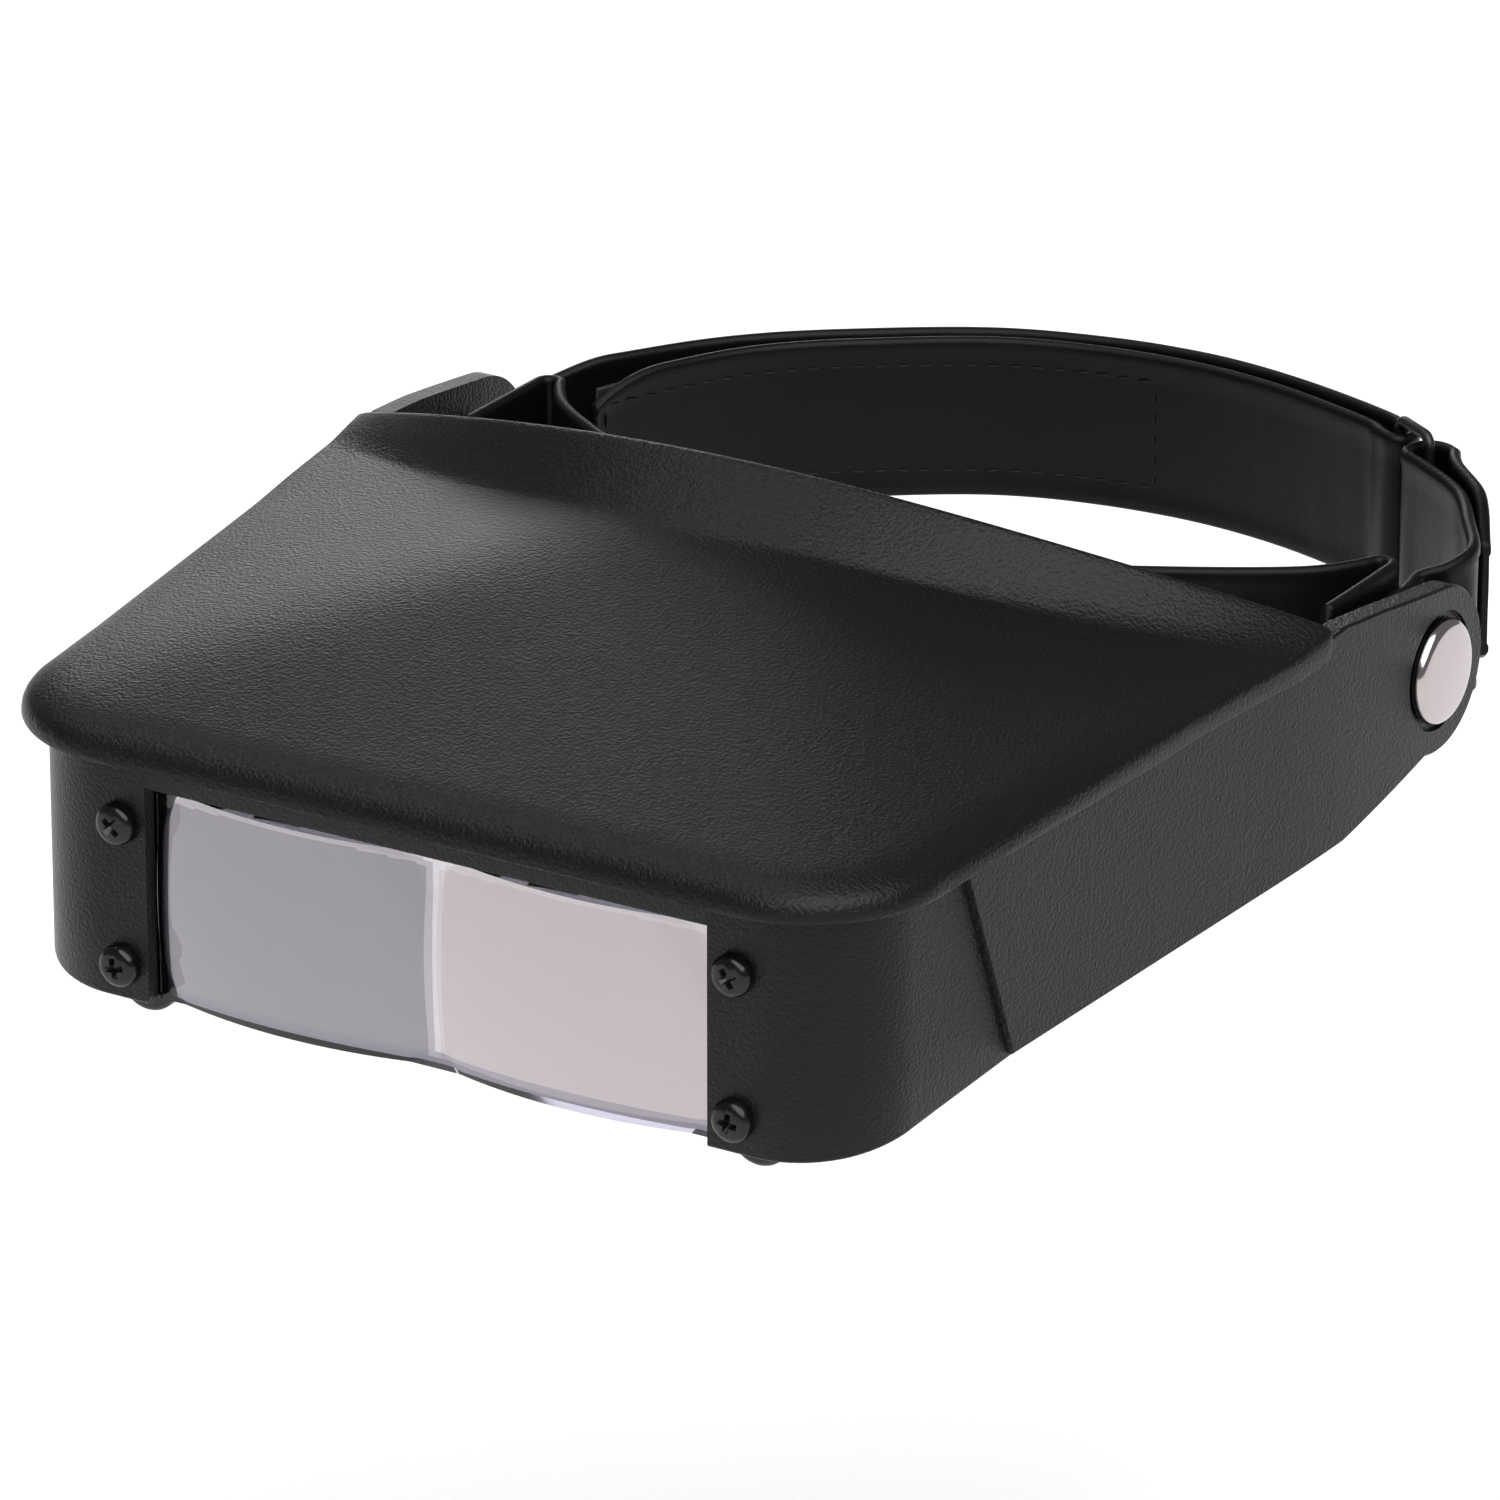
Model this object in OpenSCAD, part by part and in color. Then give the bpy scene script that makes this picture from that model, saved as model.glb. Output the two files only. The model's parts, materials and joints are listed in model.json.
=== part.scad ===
// Head visor magnifier: a dark moulded hood with a double lens plate, tilting on
// two snap pivots carried by a padded forehead band and an adjustable rear strap.
// Front faces -Y, +Z is up, the origin is midway between the two tilt pivots.

/* [Hood] */
// Distance from the tilt axis forward to the outer face of the front wall
hood_reach = 133; // [115:1:160]
// Distance from the middle plane to the outer face of each arm at its pivot
pivot_half_width = 79.5; // [72:0.1:96]
// Distance from the window's side edge out to the side wall's line at the front
front_margin = 22.14; // [18:0.02:30]
// Length of the rear stretch of each arm that bends back to run straight
arm_bend_length = 40; // [30:1:50]
// Thickness of the moulded walls
hood_wall = 2.2; // [1.6:0.1:3]
// Height of the raised arm panels above the side walls
panel_step = 1; // [0.6:0.1:1.4]
// Outer radius of the two front corners
corner_radius = 16; // [11:0.5:19]
// Lowest level of the front wall, measured from the tilt axis
front_bottom = -28.5; // [-34:0.5:-26]
// Level of the front lip's upper edge
lip_top = 10.4; // [9:0.2:12]
// Thickness of the rounded lip
lip_height = 4.4; // [3.6:0.1:5]
// How far the lip stands forward of the front wall
lip_overhang = 4; // [2:0.5:5]
// Thickness of the roof
roof_wall = 2.4; // [1.8:0.1:3]
// Rise of the middle roof plane per millimetre toward the rear
roof_rise = 0.207; // [0.18:0.005:0.24]
// Rise of the two side roof planes per millimetre toward the middle
hip_rise = 0.2; // [0.16:0.01:0.24]
// Level of the brim's highest point
brim_top = 33.2; // [30:0.2:37]
// Distance of the brim's middle forward of the tilt axis
brim_forward = 52.8; // [46:0.2:58]
// Radius of the rounded arm end around the pivot
arm_end_radius = 12; // [10:0.25:13]

/* [Lens] */
// Width of the window in the front wall
window_width = 87.6; // [72:0.2:92]
// Level of the window's upper edge
window_top = 2.9; // [0:0.1:5]
// Radius of each convex lens face
lens_radius = 74; // [60:1:100]
// Thickness of the lens plate's clamped ears
lens_ear = 3; // [2:0.1:4]
// How far the lens crests stand forward of the front wall
lens_proud = 1.2; // [0.4:0.1:2.5]
// Gap between the lens plate and the window's edges
lens_gap = 0.3; // [0.1:0.05:0.6]
// Width of each lens clamp bar
clamp_width = 9.4; // [8:0.2:11]
// Thickness of each lens clamp bar
clamp_thickness = 3.2; // [2.4:0.1:4]

/* [Screws] */
// Thread diameter of the lens screws
screw_diameter = 3; // [2.5:0.1:3.2]
// Diameter of the pan heads
screw_head_diameter = 6; // [5.4:0.1:6.6]
// Height of the pan heads
screw_head_height = 2.2; // [1.6:0.1:2.6]
// Distance between the upper and the lower screw
screw_pitch = 20.5; // [17:0.5:23]
// Diameter of the clearance holes
screw_hole = 3.4; // [3.3:0.1:3.8]

/* [Snap pivots] */
// Diameter of the domed caps
cap_diameter = 15; // [13:0.5:16]
// Height of the domed caps above their recess
cap_height = 2.5; // [1.8:0.1:3]
// Bore of the sockets
socket_bore = 7.7; // [7:0.1:8]
// Radial running clearance of the studs in the sockets
stud_clearance = 0.05; // [0.02:0.01:0.1]
// Depth of the sockets
socket_depth = 3; // [2.8:0.1:3.4]

/* [Headband] */
// Height of the straps and of the forehead band
strap_height = 25; // [20:1:30]
// Thickness of the straps and of the forehead band
strap_thickness = 2; // [1.6:0.1:2.4]
// Distance from the tilt axis back to the rear strap's middle line
loop_depth = 63; // [58:1:85]
// Distance from the tilt axis forward to the forehead band's middle line
brow_depth = 28.5; // [24:0.5:34]
// Thickness of the forehead pad
pad_thickness = 4; // [3:0.5:6]
// Thickness of the hook strip and of the loop strip
patch_thickness = 1; // [0.8:0.1:1.4]
// Diameter of the ring's wire
ring_wire = 1.6; // [1.2:0.1:1.8]
// Distance between the middles of the ring's two upright bars
ring_pitch = 8.5; // [8:0.5:11]

/* [Hidden] */

round_fn = 64;
tiny = 0.01;

// hood outline; the arms flare from the front wall's width to the pivots' width
front_half = window_width / 2 + front_margin;
arm_flare = (pivot_half_width - front_half) / (hood_reach - arm_bend_length / 2);
flare_angle = atan(arm_flare);
corner_y = -hood_reach + corner_radius;
front_inner_y = -hood_reach + hood_wall;
brim_drop = 16.8;
brim_sweep = 25;
brim_power = 2.2;
brim_drop_power = 0.95;
crease_forward = brim_forward + 13;
crease_sweep = 29;
crease_power = 1.6;
edge_rise = 0.036;
side_lip_rear = 0.8;
side_lip_front = 2.6;
side_lip_fade = 60;
roof_blend = 1.2;
// the roof rolls down toward its rim, more at the front than at the rear
roll_width = 7;
roll_drop_rear = 1.2;
roll_drop_front = 3.2;
roll_fade_from = 50;
roll_fade = 55;
roof_columns = 36;
roof_rows = 12;
row_power = 1.7;
fascia_rows = 2;
arm_front_top_y = -hood_reach + 23;
arm_front_bottom_y = -hood_reach + 34;
arm_front_bottom_z = -22;
arm_heel_y = -25;
arm_heel_z = -16.6;
arm_crest_y = -23;
arm_crest_z = 15.3;
side_bottom_front_z = -25.5;
cap_recess = 0.6;
cap_recess_gap = 1;
socket_seat_gap = 0.3;

// lens, clamps and screws
wall_thickness_total = hood_wall + panel_step;
lens_back_y = front_inner_y + 0.2 + lens_ear;
lens_top = window_top - 0.8;
lens_bottom = front_bottom + 0.3;
lens_half = window_width / 2 - lens_gap;
lens_middle_z = (lens_top + lens_bottom) / 2;
screw_x = window_width / 2 + 4.2;
screw_middle_z = lens_middle_z + 0.1;
ear_half = screw_x + clamp_width / 2;
clamp_front_y = lens_back_y;
clamp_back_y = lens_back_y + clamp_thickness;
clamp_below = 4;
clamp_above = 2;
recess_width = 0.9;
recess_length = 3.4;
recess_depth = 1.2;

// snap stack, measured along X from the middle plane outward
arm_inner_x = pivot_half_width - wall_thickness_total;
cap_floor_x = pivot_half_width - cap_recess;
socket_face_x = arm_inner_x - socket_depth;
socket_base = 0.6;
socket_outer = socket_bore + 3.9;
barrel_diameter = 4.4;
barrel_hole = 4.5;
barrel_flange = 6;
barrel_flange_thickness = 0.4;
groove_diameter = socket_bore + 1.5;
groove_width = 0.6;
groove_x = socket_face_x + 0.5;
spring_wire = 0.5;
stud_head_diameter = socket_bore - 2 * stud_clearance;
stud_neck_diameter = stud_head_diameter - 1;
stud_head_outer_x = arm_inner_x - socket_base - barrel_flange_thickness - 0.1;
stud_head_inner_x = groove_x + groove_width;
stud_flange_gap = 0.4;
stud_flange = 10.6;
stud_flange_thickness = 0.6;
strap_outer_x = socket_face_x - stud_flange_gap - stud_flange_thickness;
strap_x = strap_outer_x - strap_thickness / 2;
band_fold_x = strap_x - strap_thickness;
eyelet_post = 3.6;
eyelet_hole = 3.7;
eyelet_flange = 8.4;
eyelet_flange_thickness = 0.6;
eyelet_face_x = band_fold_x - strap_thickness / 2;
eyelet_tip_x = strap_outer_x + 1.6;

// headband plan
half = strap_thickness / 2;
fold_gap = 2 * patch_thickness;
fold_pitch = strap_thickness + fold_gap;
ring_angle = -32;
ring_dir = [cos(ring_angle), sin(ring_angle)];
ring_out = [-sin(ring_angle), cos(ring_angle)];
ring_bar_rear = [0.642 * strap_x, 0.8 * loop_depth];
ring_bar_front = ring_bar_rear + ring_pitch * ring_dir;
loose_fold = 3.2;
path_steps = 6;

// ---- curves ----

// Point on the curve through four knots, between the second and the third
function through(a, b, c, d, t) =
    0.5 * ((2 * b) + (c - a) * t + (2 * a - 5 * b + 4 * c - d) * t * t
        + (3 * b - a - 3 * c + d) * t * t * t);

// Smooth line through all the knots
function smooth_line(k) = concat(
    [for (i = [0 : len(k) - 2], s = [0 : path_steps - 1])
        through(k[max(i - 1, 0)], k[i], k[i + 1], k[min(i + 2, len(k) - 1)], s / path_steps)],
    [k[len(k) - 1]]);

function unit(v) = v / norm(v);
// Direction of a line at its point i
function along(p, i) = unit(p[min(i + 1, len(p) - 1)] - p[max(i - 1, 0)]);
// Left-hand side of a line at its point i
function beside(p, i) = [-along(p, i)[1], along(p, i)[0]];
function shifted(p, i, d) = p[i] + d * beside(p, i);
function arc(c, r, a0, a1, n) = [for (i = [0 : n])
    let (a = a0 + (a1 - a0) * i / n) c + r * [cos(a), sin(a)]];
function swap_side(p) = [for (v = p) [-v[0], v[1]]];
function backwards(p) = [for (i = [len(p) - 1 : -1 : 0]) p[i]];

// Outline of a strip between two distances beside a line, from point i0 to i1
function strip(p, i0, i1, d0, d1) = concat(
    [for (i = [i0 : i1]) shifted(p, i, d0)],
    [for (i = [i1 : -1 : i0]) shifted(p, i, d1)]);

// Outline of a strap that turns back on its right at the line's end; the second
// layer lies off[i] beside the line, from its end back to point i0
function folded(p, off, i0) =
    let (n = len(p) - 1, r = off[n] / 2, c = shifted(p, n, -r),
         d = beside(p, n), a = atan2(d[1], d[0]))
    concat(
        [for (i = [0 : n]) shifted(p, i, half)],
        arc(c, r + half, a, a - 180, 12),
        [for (i = [n : -1 : i0]) shifted(p, i, -off[i] - half)],
        [for (i = [i0 : n]) shifted(p, i, -off[i] + half)],
        arc(c, r - half, a - 180, a, 12),
        [for (i = [n : -1 : 0]) shifted(p, i, -half)]);

// ---- hood shape ----

// Outer face of an arm panel: its distance from the middle plane at y
function arm_x(y) =
    y >= 0 ? pivot_half_width
    : y >= -arm_bend_length ? pivot_half_width - arm_flare * y * y / (2 * arm_bend_length)
    : pivot_half_width - arm_flare * arm_bend_length / 2 + arm_flare * (y + arm_bend_length);

// Half of the wall outline, a distance inside the arm panels' outer faces
function wall_half(inset) =
    let (r = corner_radius + panel_step - inset,
         cx = arm_x(corner_y) - (corner_radius + panel_step) / cos(flare_angle))
    concat(
        arc([cx, corner_y], r, -90, -flare_angle, 12),
        [for (y = [-hood_reach + 20 : 10 : -arm_bend_length - 1]) [arm_x(y) - inset / cos(flare_angle), y]],
        [for (y = [-arm_bend_length : 5 : 0]) [arm_x(y) - inset, y]],
        [[pivot_half_width - inset, arm_end_radius + 3]]);

module wall_ring(outer_inset, inner_inset) {
    for (side = [0, 1]) mirror([side, 0, 0])
        polygon(concat(
            [[0, -hood_reach + outer_inset - panel_step]],
            wall_half(outer_inset),
            backwards(wall_half(inner_inset)),
            [[0, -hood_reach + inner_inset - panel_step]]));
}

// Level of the roof's outer edge at y
function edge_z(y) = lip_top + edge_rise * (y + hood_reach + lip_overhang);
// Distance of the roof's outer edge from the middle plane at y
function edge_x(y) =
    arm_x(y) + side_lip_rear
    + (side_lip_front - side_lip_rear) * min(1, max(0, (-y - side_lip_fade) / side_lip_fade));
function soft_min(a, b) = -roof_blend * ln(exp(-a / roof_blend) + exp(-b / roof_blend));
roof_front = hood_reach + lip_overhang;
roof_corner = corner_radius + lip_overhang;
roof_corner_y = -roof_front + roof_corner;
roof_front_half = edge_x(roof_corner_y);
// Distance of a point of the roof from its front and side rim
function rim_distance(x, y) =
    roof_corner - norm([
        max(0, abs(x) - edge_x(max(y, roof_corner_y)) + roof_corner),
        max(0, roof_corner_y - y)]);
function roll_drop(y) =
    roll_drop_rear + (roll_drop_front - roll_drop_rear) * min(1, max(0, (-y - roll_fade_from) / roll_fade));
function roll(x, y) =
    let (t = 1 - min(1, max(0, rim_distance(x, y) / roll_width))) roll_drop(y) * (1 - sqrt(1 - t * t));
// The roof's planes start this much above the lip, and the walls' outlines are cut from a prism this tall
roof_lift = 0.8;
through_height = 120;
function roof_z(x, y) = soft_min(
    edge_z(-hood_reach) + roof_lift + roof_rise * (y + hood_reach + lip_overhang),
    edge_z(y) + roof_lift + hip_rise * (edge_x(y) - abs(x))) - roll(x, y);
// Front edge of the roof across its width, u from -1 to 1
function front_y(u) =
    let (s = max(0, abs(u) * roof_front_half - (roof_front_half - roof_corner)))
    roof_corner_y - sqrt(max(0, roof_corner * roof_corner - s * s));
function crease_y(u) = -crease_forward + crease_sweep * pow(abs(u), crease_power);
function brim_share(u) = pow(abs(u), brim_power);
function brim_y(u) = -brim_forward + brim_sweep * brim_share(u);
function brim_z(u) = brim_top - brim_drop * pow(brim_share(u), brim_drop_power);
function roof_width_at(y) = edge_x(max(y, roof_corner_y));

// Roof point: rows 0 to roof_rows run from the lip to the crease, then to the brim
function roof_point(u, row) =
    row <= roof_rows
    ? let (share = pow(row / roof_rows, row_power),
           y = front_y(u) + (crease_y(u) - front_y(u)) * share, x = u * roof_width_at(y))
        [x, y, roof_z(x, y)]
    : let (t = (row - roof_rows) / fascia_rows,
           y0 = crease_y(u), x0 = u * roof_width_at(y0), y = y0 + (brim_y(u) - y0) * t)
        [u * roof_width_at(y), y, roof_z(x0, y0) * (1 - t) + brim_z(u) * t];

function sine_share(i) = sin(90 * (2 * i / roof_columns - 1));

module roof() {
    rows = roof_rows + fascia_rows;
    w = roof_columns + 1;
    top = [for (r = [0 : rows], i = [0 : roof_columns]) roof_point(sine_share(i), r)];
    edge = function (r, i) r == 0 || i == 0 || i == roof_columns;
    low = [for (r = [0 : rows], i = [0 : roof_columns])
        let (p = roof_point(sine_share(i), r))
        [p[0], p[1], p[2] - (edge(r, i) ? lip_height - roll(p[0], p[1]) : roof_wall)]];
    n = w * (rows + 1);
    at = function (r, i) r * w + i;
    faces = concat(
        [for (r = [0 : rows - 1], i = [0 : roof_columns - 1]) each [
            [at(r, i), at(r + 1, i), at(r + 1, i + 1)], [at(r, i), at(r + 1, i + 1), at(r, i + 1)]]],
        [for (r = [0 : rows - 1], i = [0 : roof_columns - 1]) each [
            [n + at(r, i), n + at(r + 1, i + 1), n + at(r + 1, i)],
            [n + at(r, i), n + at(r, i + 1), n + at(r + 1, i + 1)]]],
        [for (i = [0 : roof_columns - 1]) each [
            [at(0, i), at(0, i + 1), n + at(0, i + 1)], [at(0, i), n + at(0, i + 1), n + at(0, i)],
            [at(rows, i), n + at(rows, i + 1), at(rows, i + 1)],
            [at(rows, i), n + at(rows, i), n + at(rows, i + 1)]]],
        [for (r = [0 : rows - 1]) each [
            [at(r, 0), n + at(r + 1, 0), at(r + 1, 0)], [at(r, 0), n + at(r, 0), n + at(r + 1, 0)],
            [at(r, roof_columns), at(r + 1, roof_columns), n + at(r + 1, roof_columns)],
            [at(r, roof_columns), n + at(r + 1, roof_columns), n + at(r, roof_columns)]]]);
    polyhedron(points = concat(top, low), faces = faces, convexity = 6);
}

// Draws a Y-Z outline and extrudes it across the hood
module side_profile() {
    rotate([90, 0, 90]) linear_extrude(height = 2 * pivot_half_width + 20, center = true) children();
}

module front_wall_profile() {
    polygon([
        [-hood_reach - 1, front_bottom], [-hood_reach + 5, front_bottom + 1],
        [-hood_reach + 15, side_bottom_front_z], [arm_front_bottom_y + 2, arm_front_bottom_z - 0.6],
        [arm_front_bottom_y + 30, arm_front_bottom_z + 3.2],
        [arm_front_bottom_y + 30, edge_z(arm_front_bottom_y + 30) - lip_height / 2],
        [-hood_reach - 1, edge_z(-hood_reach) - lip_height / 2]]);
}

module arm_profile() {
    polygon([
        [arm_front_top_y, edge_z(arm_front_top_y) - lip_height / 2],
        [arm_front_bottom_y, arm_front_bottom_z], [arm_heel_y, arm_heel_z],
        arm_end_radius * [-0.28, -0.96], [0, 0],
        arm_end_radius * [0.1, 0.995],
        [arm_crest_y, arm_crest_z],
        [brim_y(1) - 1, edge_z(brim_y(1)) - roll_drop_rear],
        [-arm_bend_length, edge_z(-arm_bend_length) - lip_height / 2]]);
    circle(r = arm_end_radius, $fn = round_fn);
}

// A cylinder along X from x0 to x1 on the tilt axis
module axial(x0, x1, d) {
    translate([x0, 0, 0]) rotate([0, 90, 0]) cylinder(h = x1 - x0, d = d, $fn = round_fn);
}

module at_screws() {
    for (sx = [-1, 1], sz = [-1, 1])
        translate([sx * screw_x, -hood_reach, screw_middle_z + sz * screw_pitch / 2])
            rotate([-90, 0, 0]) children();
}

module hood_shell() {
    color("#1b1b1d") difference() {
        union() {
            roof();
            intersection() {
                linear_extrude(height = through_height, center = true)
                    wall_ring(panel_step, wall_thickness_total);
                side_profile() front_wall_profile();
            }
            intersection() {
                linear_extrude(height = through_height, center = true)
                    wall_ring(0, wall_thickness_total);
                side_profile() arm_profile();
            }
        }
        translate([-window_width / 2, -hood_reach - 2, front_bottom - 5])
            cube([window_width, hood_wall + 4, window_top - front_bottom + 5]);
        at_screws() translate([0, 0, -2]) cylinder(h = hood_wall + 4, d = screw_hole, $fn = round_fn);
        for (side = [0, 1]) mirror([side, 0, 0]) {
            axial(arm_inner_x - 1, pivot_half_width + 1, barrel_hole);
            axial(cap_floor_x, pivot_half_width + 2, cap_diameter + 2 * cap_recess_gap);
            axial(arm_inner_x - 1, arm_inner_x, socket_outer + 2 * socket_seat_gap);
        }
    }
}

module lens_half_body() {
    centre_x = lens_half / 2;
    intersection() {
        translate([0, -hood_reach - 6, lens_bottom])
            cube([lens_half, lens_back_y + hood_reach + 6, lens_top - lens_bottom]);
        translate([centre_x, -hood_reach - lens_proud + lens_radius, lens_middle_z])
            sphere(r = lens_radius, $fn = 96);
    }
}

module lens_plate() {
    color("#d9dee6", 0.45) difference() {
        union() {
            for (side = [0, 1]) mirror([side, 0, 0]) {
                lens_half_body();
                translate([lens_half - 1, lens_back_y - lens_ear, lens_bottom])
                    cube([ear_half - lens_half + 1, lens_ear, lens_top - lens_bottom]);
            }
            translate([-1, lens_back_y - 2, lens_bottom]) cube([2, 2, lens_top - lens_bottom]);
        }
        at_screws() cylinder(h = 20, d = screw_hole, $fn = round_fn);
    }
}

module lens_clamp() {
    r = clamp_width / 2;
    color("#141415") difference() {
        union() {
            translate([screw_x - r, clamp_front_y, lens_bottom - clamp_below + r])
                cube([clamp_width, clamp_thickness,
                    lens_top + clamp_above - lens_bottom + clamp_below - clamp_width]);
            for (z = [lens_bottom - clamp_below + r, lens_top + clamp_above - r])
                translate([screw_x, clamp_front_y, z])
                    rotate([-90, 0, 0]) cylinder(h = clamp_thickness, r = r, $fn = round_fn);
        }
        at_screws() cylinder(h = 20, d = screw_diameter, $fn = round_fn);
    }
}
module lens_clamp_right() { lens_clamp(); }
module lens_clamp_left() { mirror([1, 0, 0]) lens_clamp(); }

module lens_screws() {
    r = screw_head_diameter / 2;
    edge = 0.7;
    color("#0e0e0f") at_screws() difference() {
        union() {
            rotate([180, 0, 0]) rotate_extrude($fn = round_fn) union() {
                square([r, screw_head_height - edge - 0.5]);
                square([r - edge, screw_head_height - 0.3]);
                translate([0, screw_head_height - 0.4]) square([r - 1.2, 0.4]);
                translate([r - edge, screw_head_height - edge - 0.5]) circle(r = edge, $fn = 24);
            }
            cylinder(h = clamp_back_y + hood_reach - 0.4, d = screw_diameter, $fn = round_fn);
        }
        for (a = [0, 90]) rotate([0, 0, a + 12])
            translate([-recess_length / 2, -recess_width / 2, -screw_head_height - 0.1])
                cube([recess_length, recess_width, recess_depth + 0.1]);
    }
}

// ---- snap pivots, drawn for the right side ----

module snap_cap() {
    r = cap_diameter / 2;
    round = 0.48 * cap_height;
    color("#d8d8da") {
        translate([cap_floor_x, 0, 0]) rotate([0, 90, 0]) rotate_extrude($fn = round_fn) {
            square([r, cap_height - round]);
            square([r - round, cap_height]);
            translate([r - round, cap_height - round]) circle(r = round, $fn = 32);
        }
        difference() {
            union() {
                axial(stud_head_outer_x + 0.1 + tiny, cap_floor_x + tiny, barrel_diameter);
                axial(stud_head_outer_x + 0.1, arm_inner_x - socket_base, barrel_flange);
            }
            axial(stud_head_outer_x, cap_floor_x - 0.5, barrel_diameter - 1.2);
        }
    }
}
module snap_cap_right() { snap_cap(); }
module snap_cap_left() { mirror([1, 0, 0]) snap_cap(); }

module snap_socket() {
    color("#9a9a9c") difference() {
        axial(socket_face_x, arm_inner_x, socket_outer);
        axial(arm_inner_x - socket_base - tiny, arm_inner_x + 1, barrel_hole);
        axial(socket_face_x - 1, arm_inner_x - socket_base, socket_bore);
        axial(groove_x, groove_x + groove_width, groove_diameter);
    }
}
module snap_socket_right() { snap_socket(); }
module snap_socket_left() { mirror([1, 0, 0]) snap_socket(); }

module snap_spring() {
    x0 = groove_x + (groove_width - spring_wire) / 2;
    color("#b8b8ba") difference() {
        axial(x0, x0 + spring_wire, groove_diameter - 0.2);
        axial(x0 - 1, x0 + 1 + spring_wire, stud_neck_diameter + 0.2);
        translate([x0 - 1, -0.6, 0]) cube([3, 1.2, groove_diameter]);
    }
}
module snap_spring_right() { snap_spring(); }
module snap_spring_left() { mirror([1, 0, 0]) snap_spring(); }

module snap_stud() {
    color("#a4a4a6") difference() {
        union() {
            axial(stud_head_inner_x, stud_head_outer_x, stud_head_diameter);
            axial(strap_outer_x, stud_head_inner_x + tiny, stud_neck_diameter);
            axial(strap_outer_x, strap_outer_x + stud_flange_thickness, stud_flange);
        }
        axial(strap_outer_x - 1, eyelet_tip_x, eyelet_post);
    }
}
module snap_stud_right() { snap_stud(); }
module snap_stud_left() { mirror([1, 0, 0]) snap_stud(); }

module snap_eyelet() {
    color("#8e8e90") {
        axial(eyelet_face_x - eyelet_flange_thickness, eyelet_face_x, eyelet_flange);
        axial(eyelet_face_x - tiny, eyelet_tip_x, eyelet_post);
    }
}
module snap_eyelet_right() { snap_eyelet(); }
module snap_eyelet_left() { mirror([1, 0, 0]) snap_eyelet(); }

// ---- headband ----

strap_front = -12;
strap_straight = stud_flange / 2 + 0.2;
// The stretch beyond the straight one that starts the bend, and the straight end at the ring
bend_lead = 3.5;
end_lead = 1.2;

// Middle line of the adjusting strap's outer layer, from the left snap round to the ring
adjusting_end = ring_bar_rear + fold_pitch / 2 * ring_out;
adjusting_line = concat(
    smooth_line([
        [-strap_x, strap_front], [-strap_x, -strap_straight], [-strap_x, strap_straight],
        [-strap_x, strap_straight + bend_lead],
        [-0.93 * strap_x, 0.27 * loop_depth], [-0.79 * strap_x, 0.5 * loop_depth],
        [-0.61 * strap_x, 0.69 * loop_depth], [-0.345 * strap_x, 0.888 * loop_depth],
        [-0.13 * strap_x, 0.975 * loop_depth], [0.107 * strap_x, loop_depth],
        [0.35 * strap_x, 0.964 * loop_depth],
        adjusting_end - 7 * ring_dir, adjusting_end - end_lead * ring_dir]),
    [adjusting_end]);
adjusting_count = len(adjusting_line) - 1;
inner_start = 3 * path_steps + 3;
closed_from = 6 * path_steps;
flare_of_end = 5;
function inner_offset(i) =
    fold_pitch + flare_of_end * pow(max(0, (closed_from - i) / (closed_from - inner_start)), 1.5);
inner_offsets = [for (i = [0 : adjusting_count]) inner_offset(i)];

// Middle line of the short strap, from the right snap to the ring
short_end = ring_bar_front - loose_fold * ring_out;
short_line = concat(
    smooth_line([
        [strap_x, strap_front], [strap_x, -strap_straight], [strap_x, strap_straight],
        [strap_x, strap_straight + bend_lead],
        [1.045 * strap_x, 0.19 * loop_depth], [1.055 * strap_x, 0.27 * loop_depth],
        [0.985 * strap_x, 0.4 * loop_depth], [0.9 * strap_x, 0.54 * loop_depth],
        short_end + 5 * ring_dir, short_end + end_lead * ring_dir]),
    [short_end]);
short_count = len(short_line) - 1;
tail_start = 6 * path_steps;
tail_full = short_count - 3;
tail_pitch = strap_thickness + 0.3;
short_offsets = [for (i = [0 : short_count])
    let (t = min(1, max(0, (i - tail_start) / (tail_full - tail_start))))
    tail_pitch + (2 * loose_fold - tail_pitch) * t * t];

// Middle line of the forehead band, from its right folded end to its left one
band_turn = 1.8;
band_turn_y = eyelet_flange / 2 + 0.2;
band_fold_line = concat(
    [[band_fold_x, strap_front - 2], [band_fold_x, strap_front / 2], [band_fold_x, band_turn_y]],
    arc([band_fold_x - band_turn, band_turn_y], band_turn, 20, 160, 7));
brow_side = [
    [band_fold_x - 2 * band_turn, band_turn_y], [0.83 * strap_x, -0.12 * brow_depth],
    [0.57 * strap_x, -0.52 * brow_depth], [0.29 * strap_x, -0.87 * brow_depth]];
brow_line = smooth_line(concat(brow_side, [[0, -brow_depth]], backwards(swap_side(brow_side))));
band_line = concat(band_fold_line, brow_line, backwards(swap_side(band_fold_line)));
pad_from = len(band_fold_line) + path_steps + 2;
pad_to = len(band_line) - 1 - pad_from;

module upright(height) {
    translate([0, 0, -height / 2]) linear_extrude(height = height, convexity = 8) children();
}

module forehead_band() {
    color("#202022") difference() {
        upright(strap_height) polygon(strip(band_line, 0, len(band_line) - 1, -half, half));
        for (side = [0, 1]) mirror([side, 0, 0])
            axial(eyelet_face_x - 0.1, strap_outer_x + 1, eyelet_hole);
    }
}

module forehead_pad() {
    color("#2a2a2d") upright(strap_height - 1)
        polygon(strip(band_line, pad_from, pad_to, -half, -half - pad_thickness));
}

module short_strap() {
    color("#1d1d1f") difference() {
        upright(strap_height) polygon(folded(short_line, short_offsets, tail_start));
        axial(strap_outer_x - strap_thickness - 0.5, strap_outer_x + 0.5, eyelet_hole);
    }
}

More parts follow.
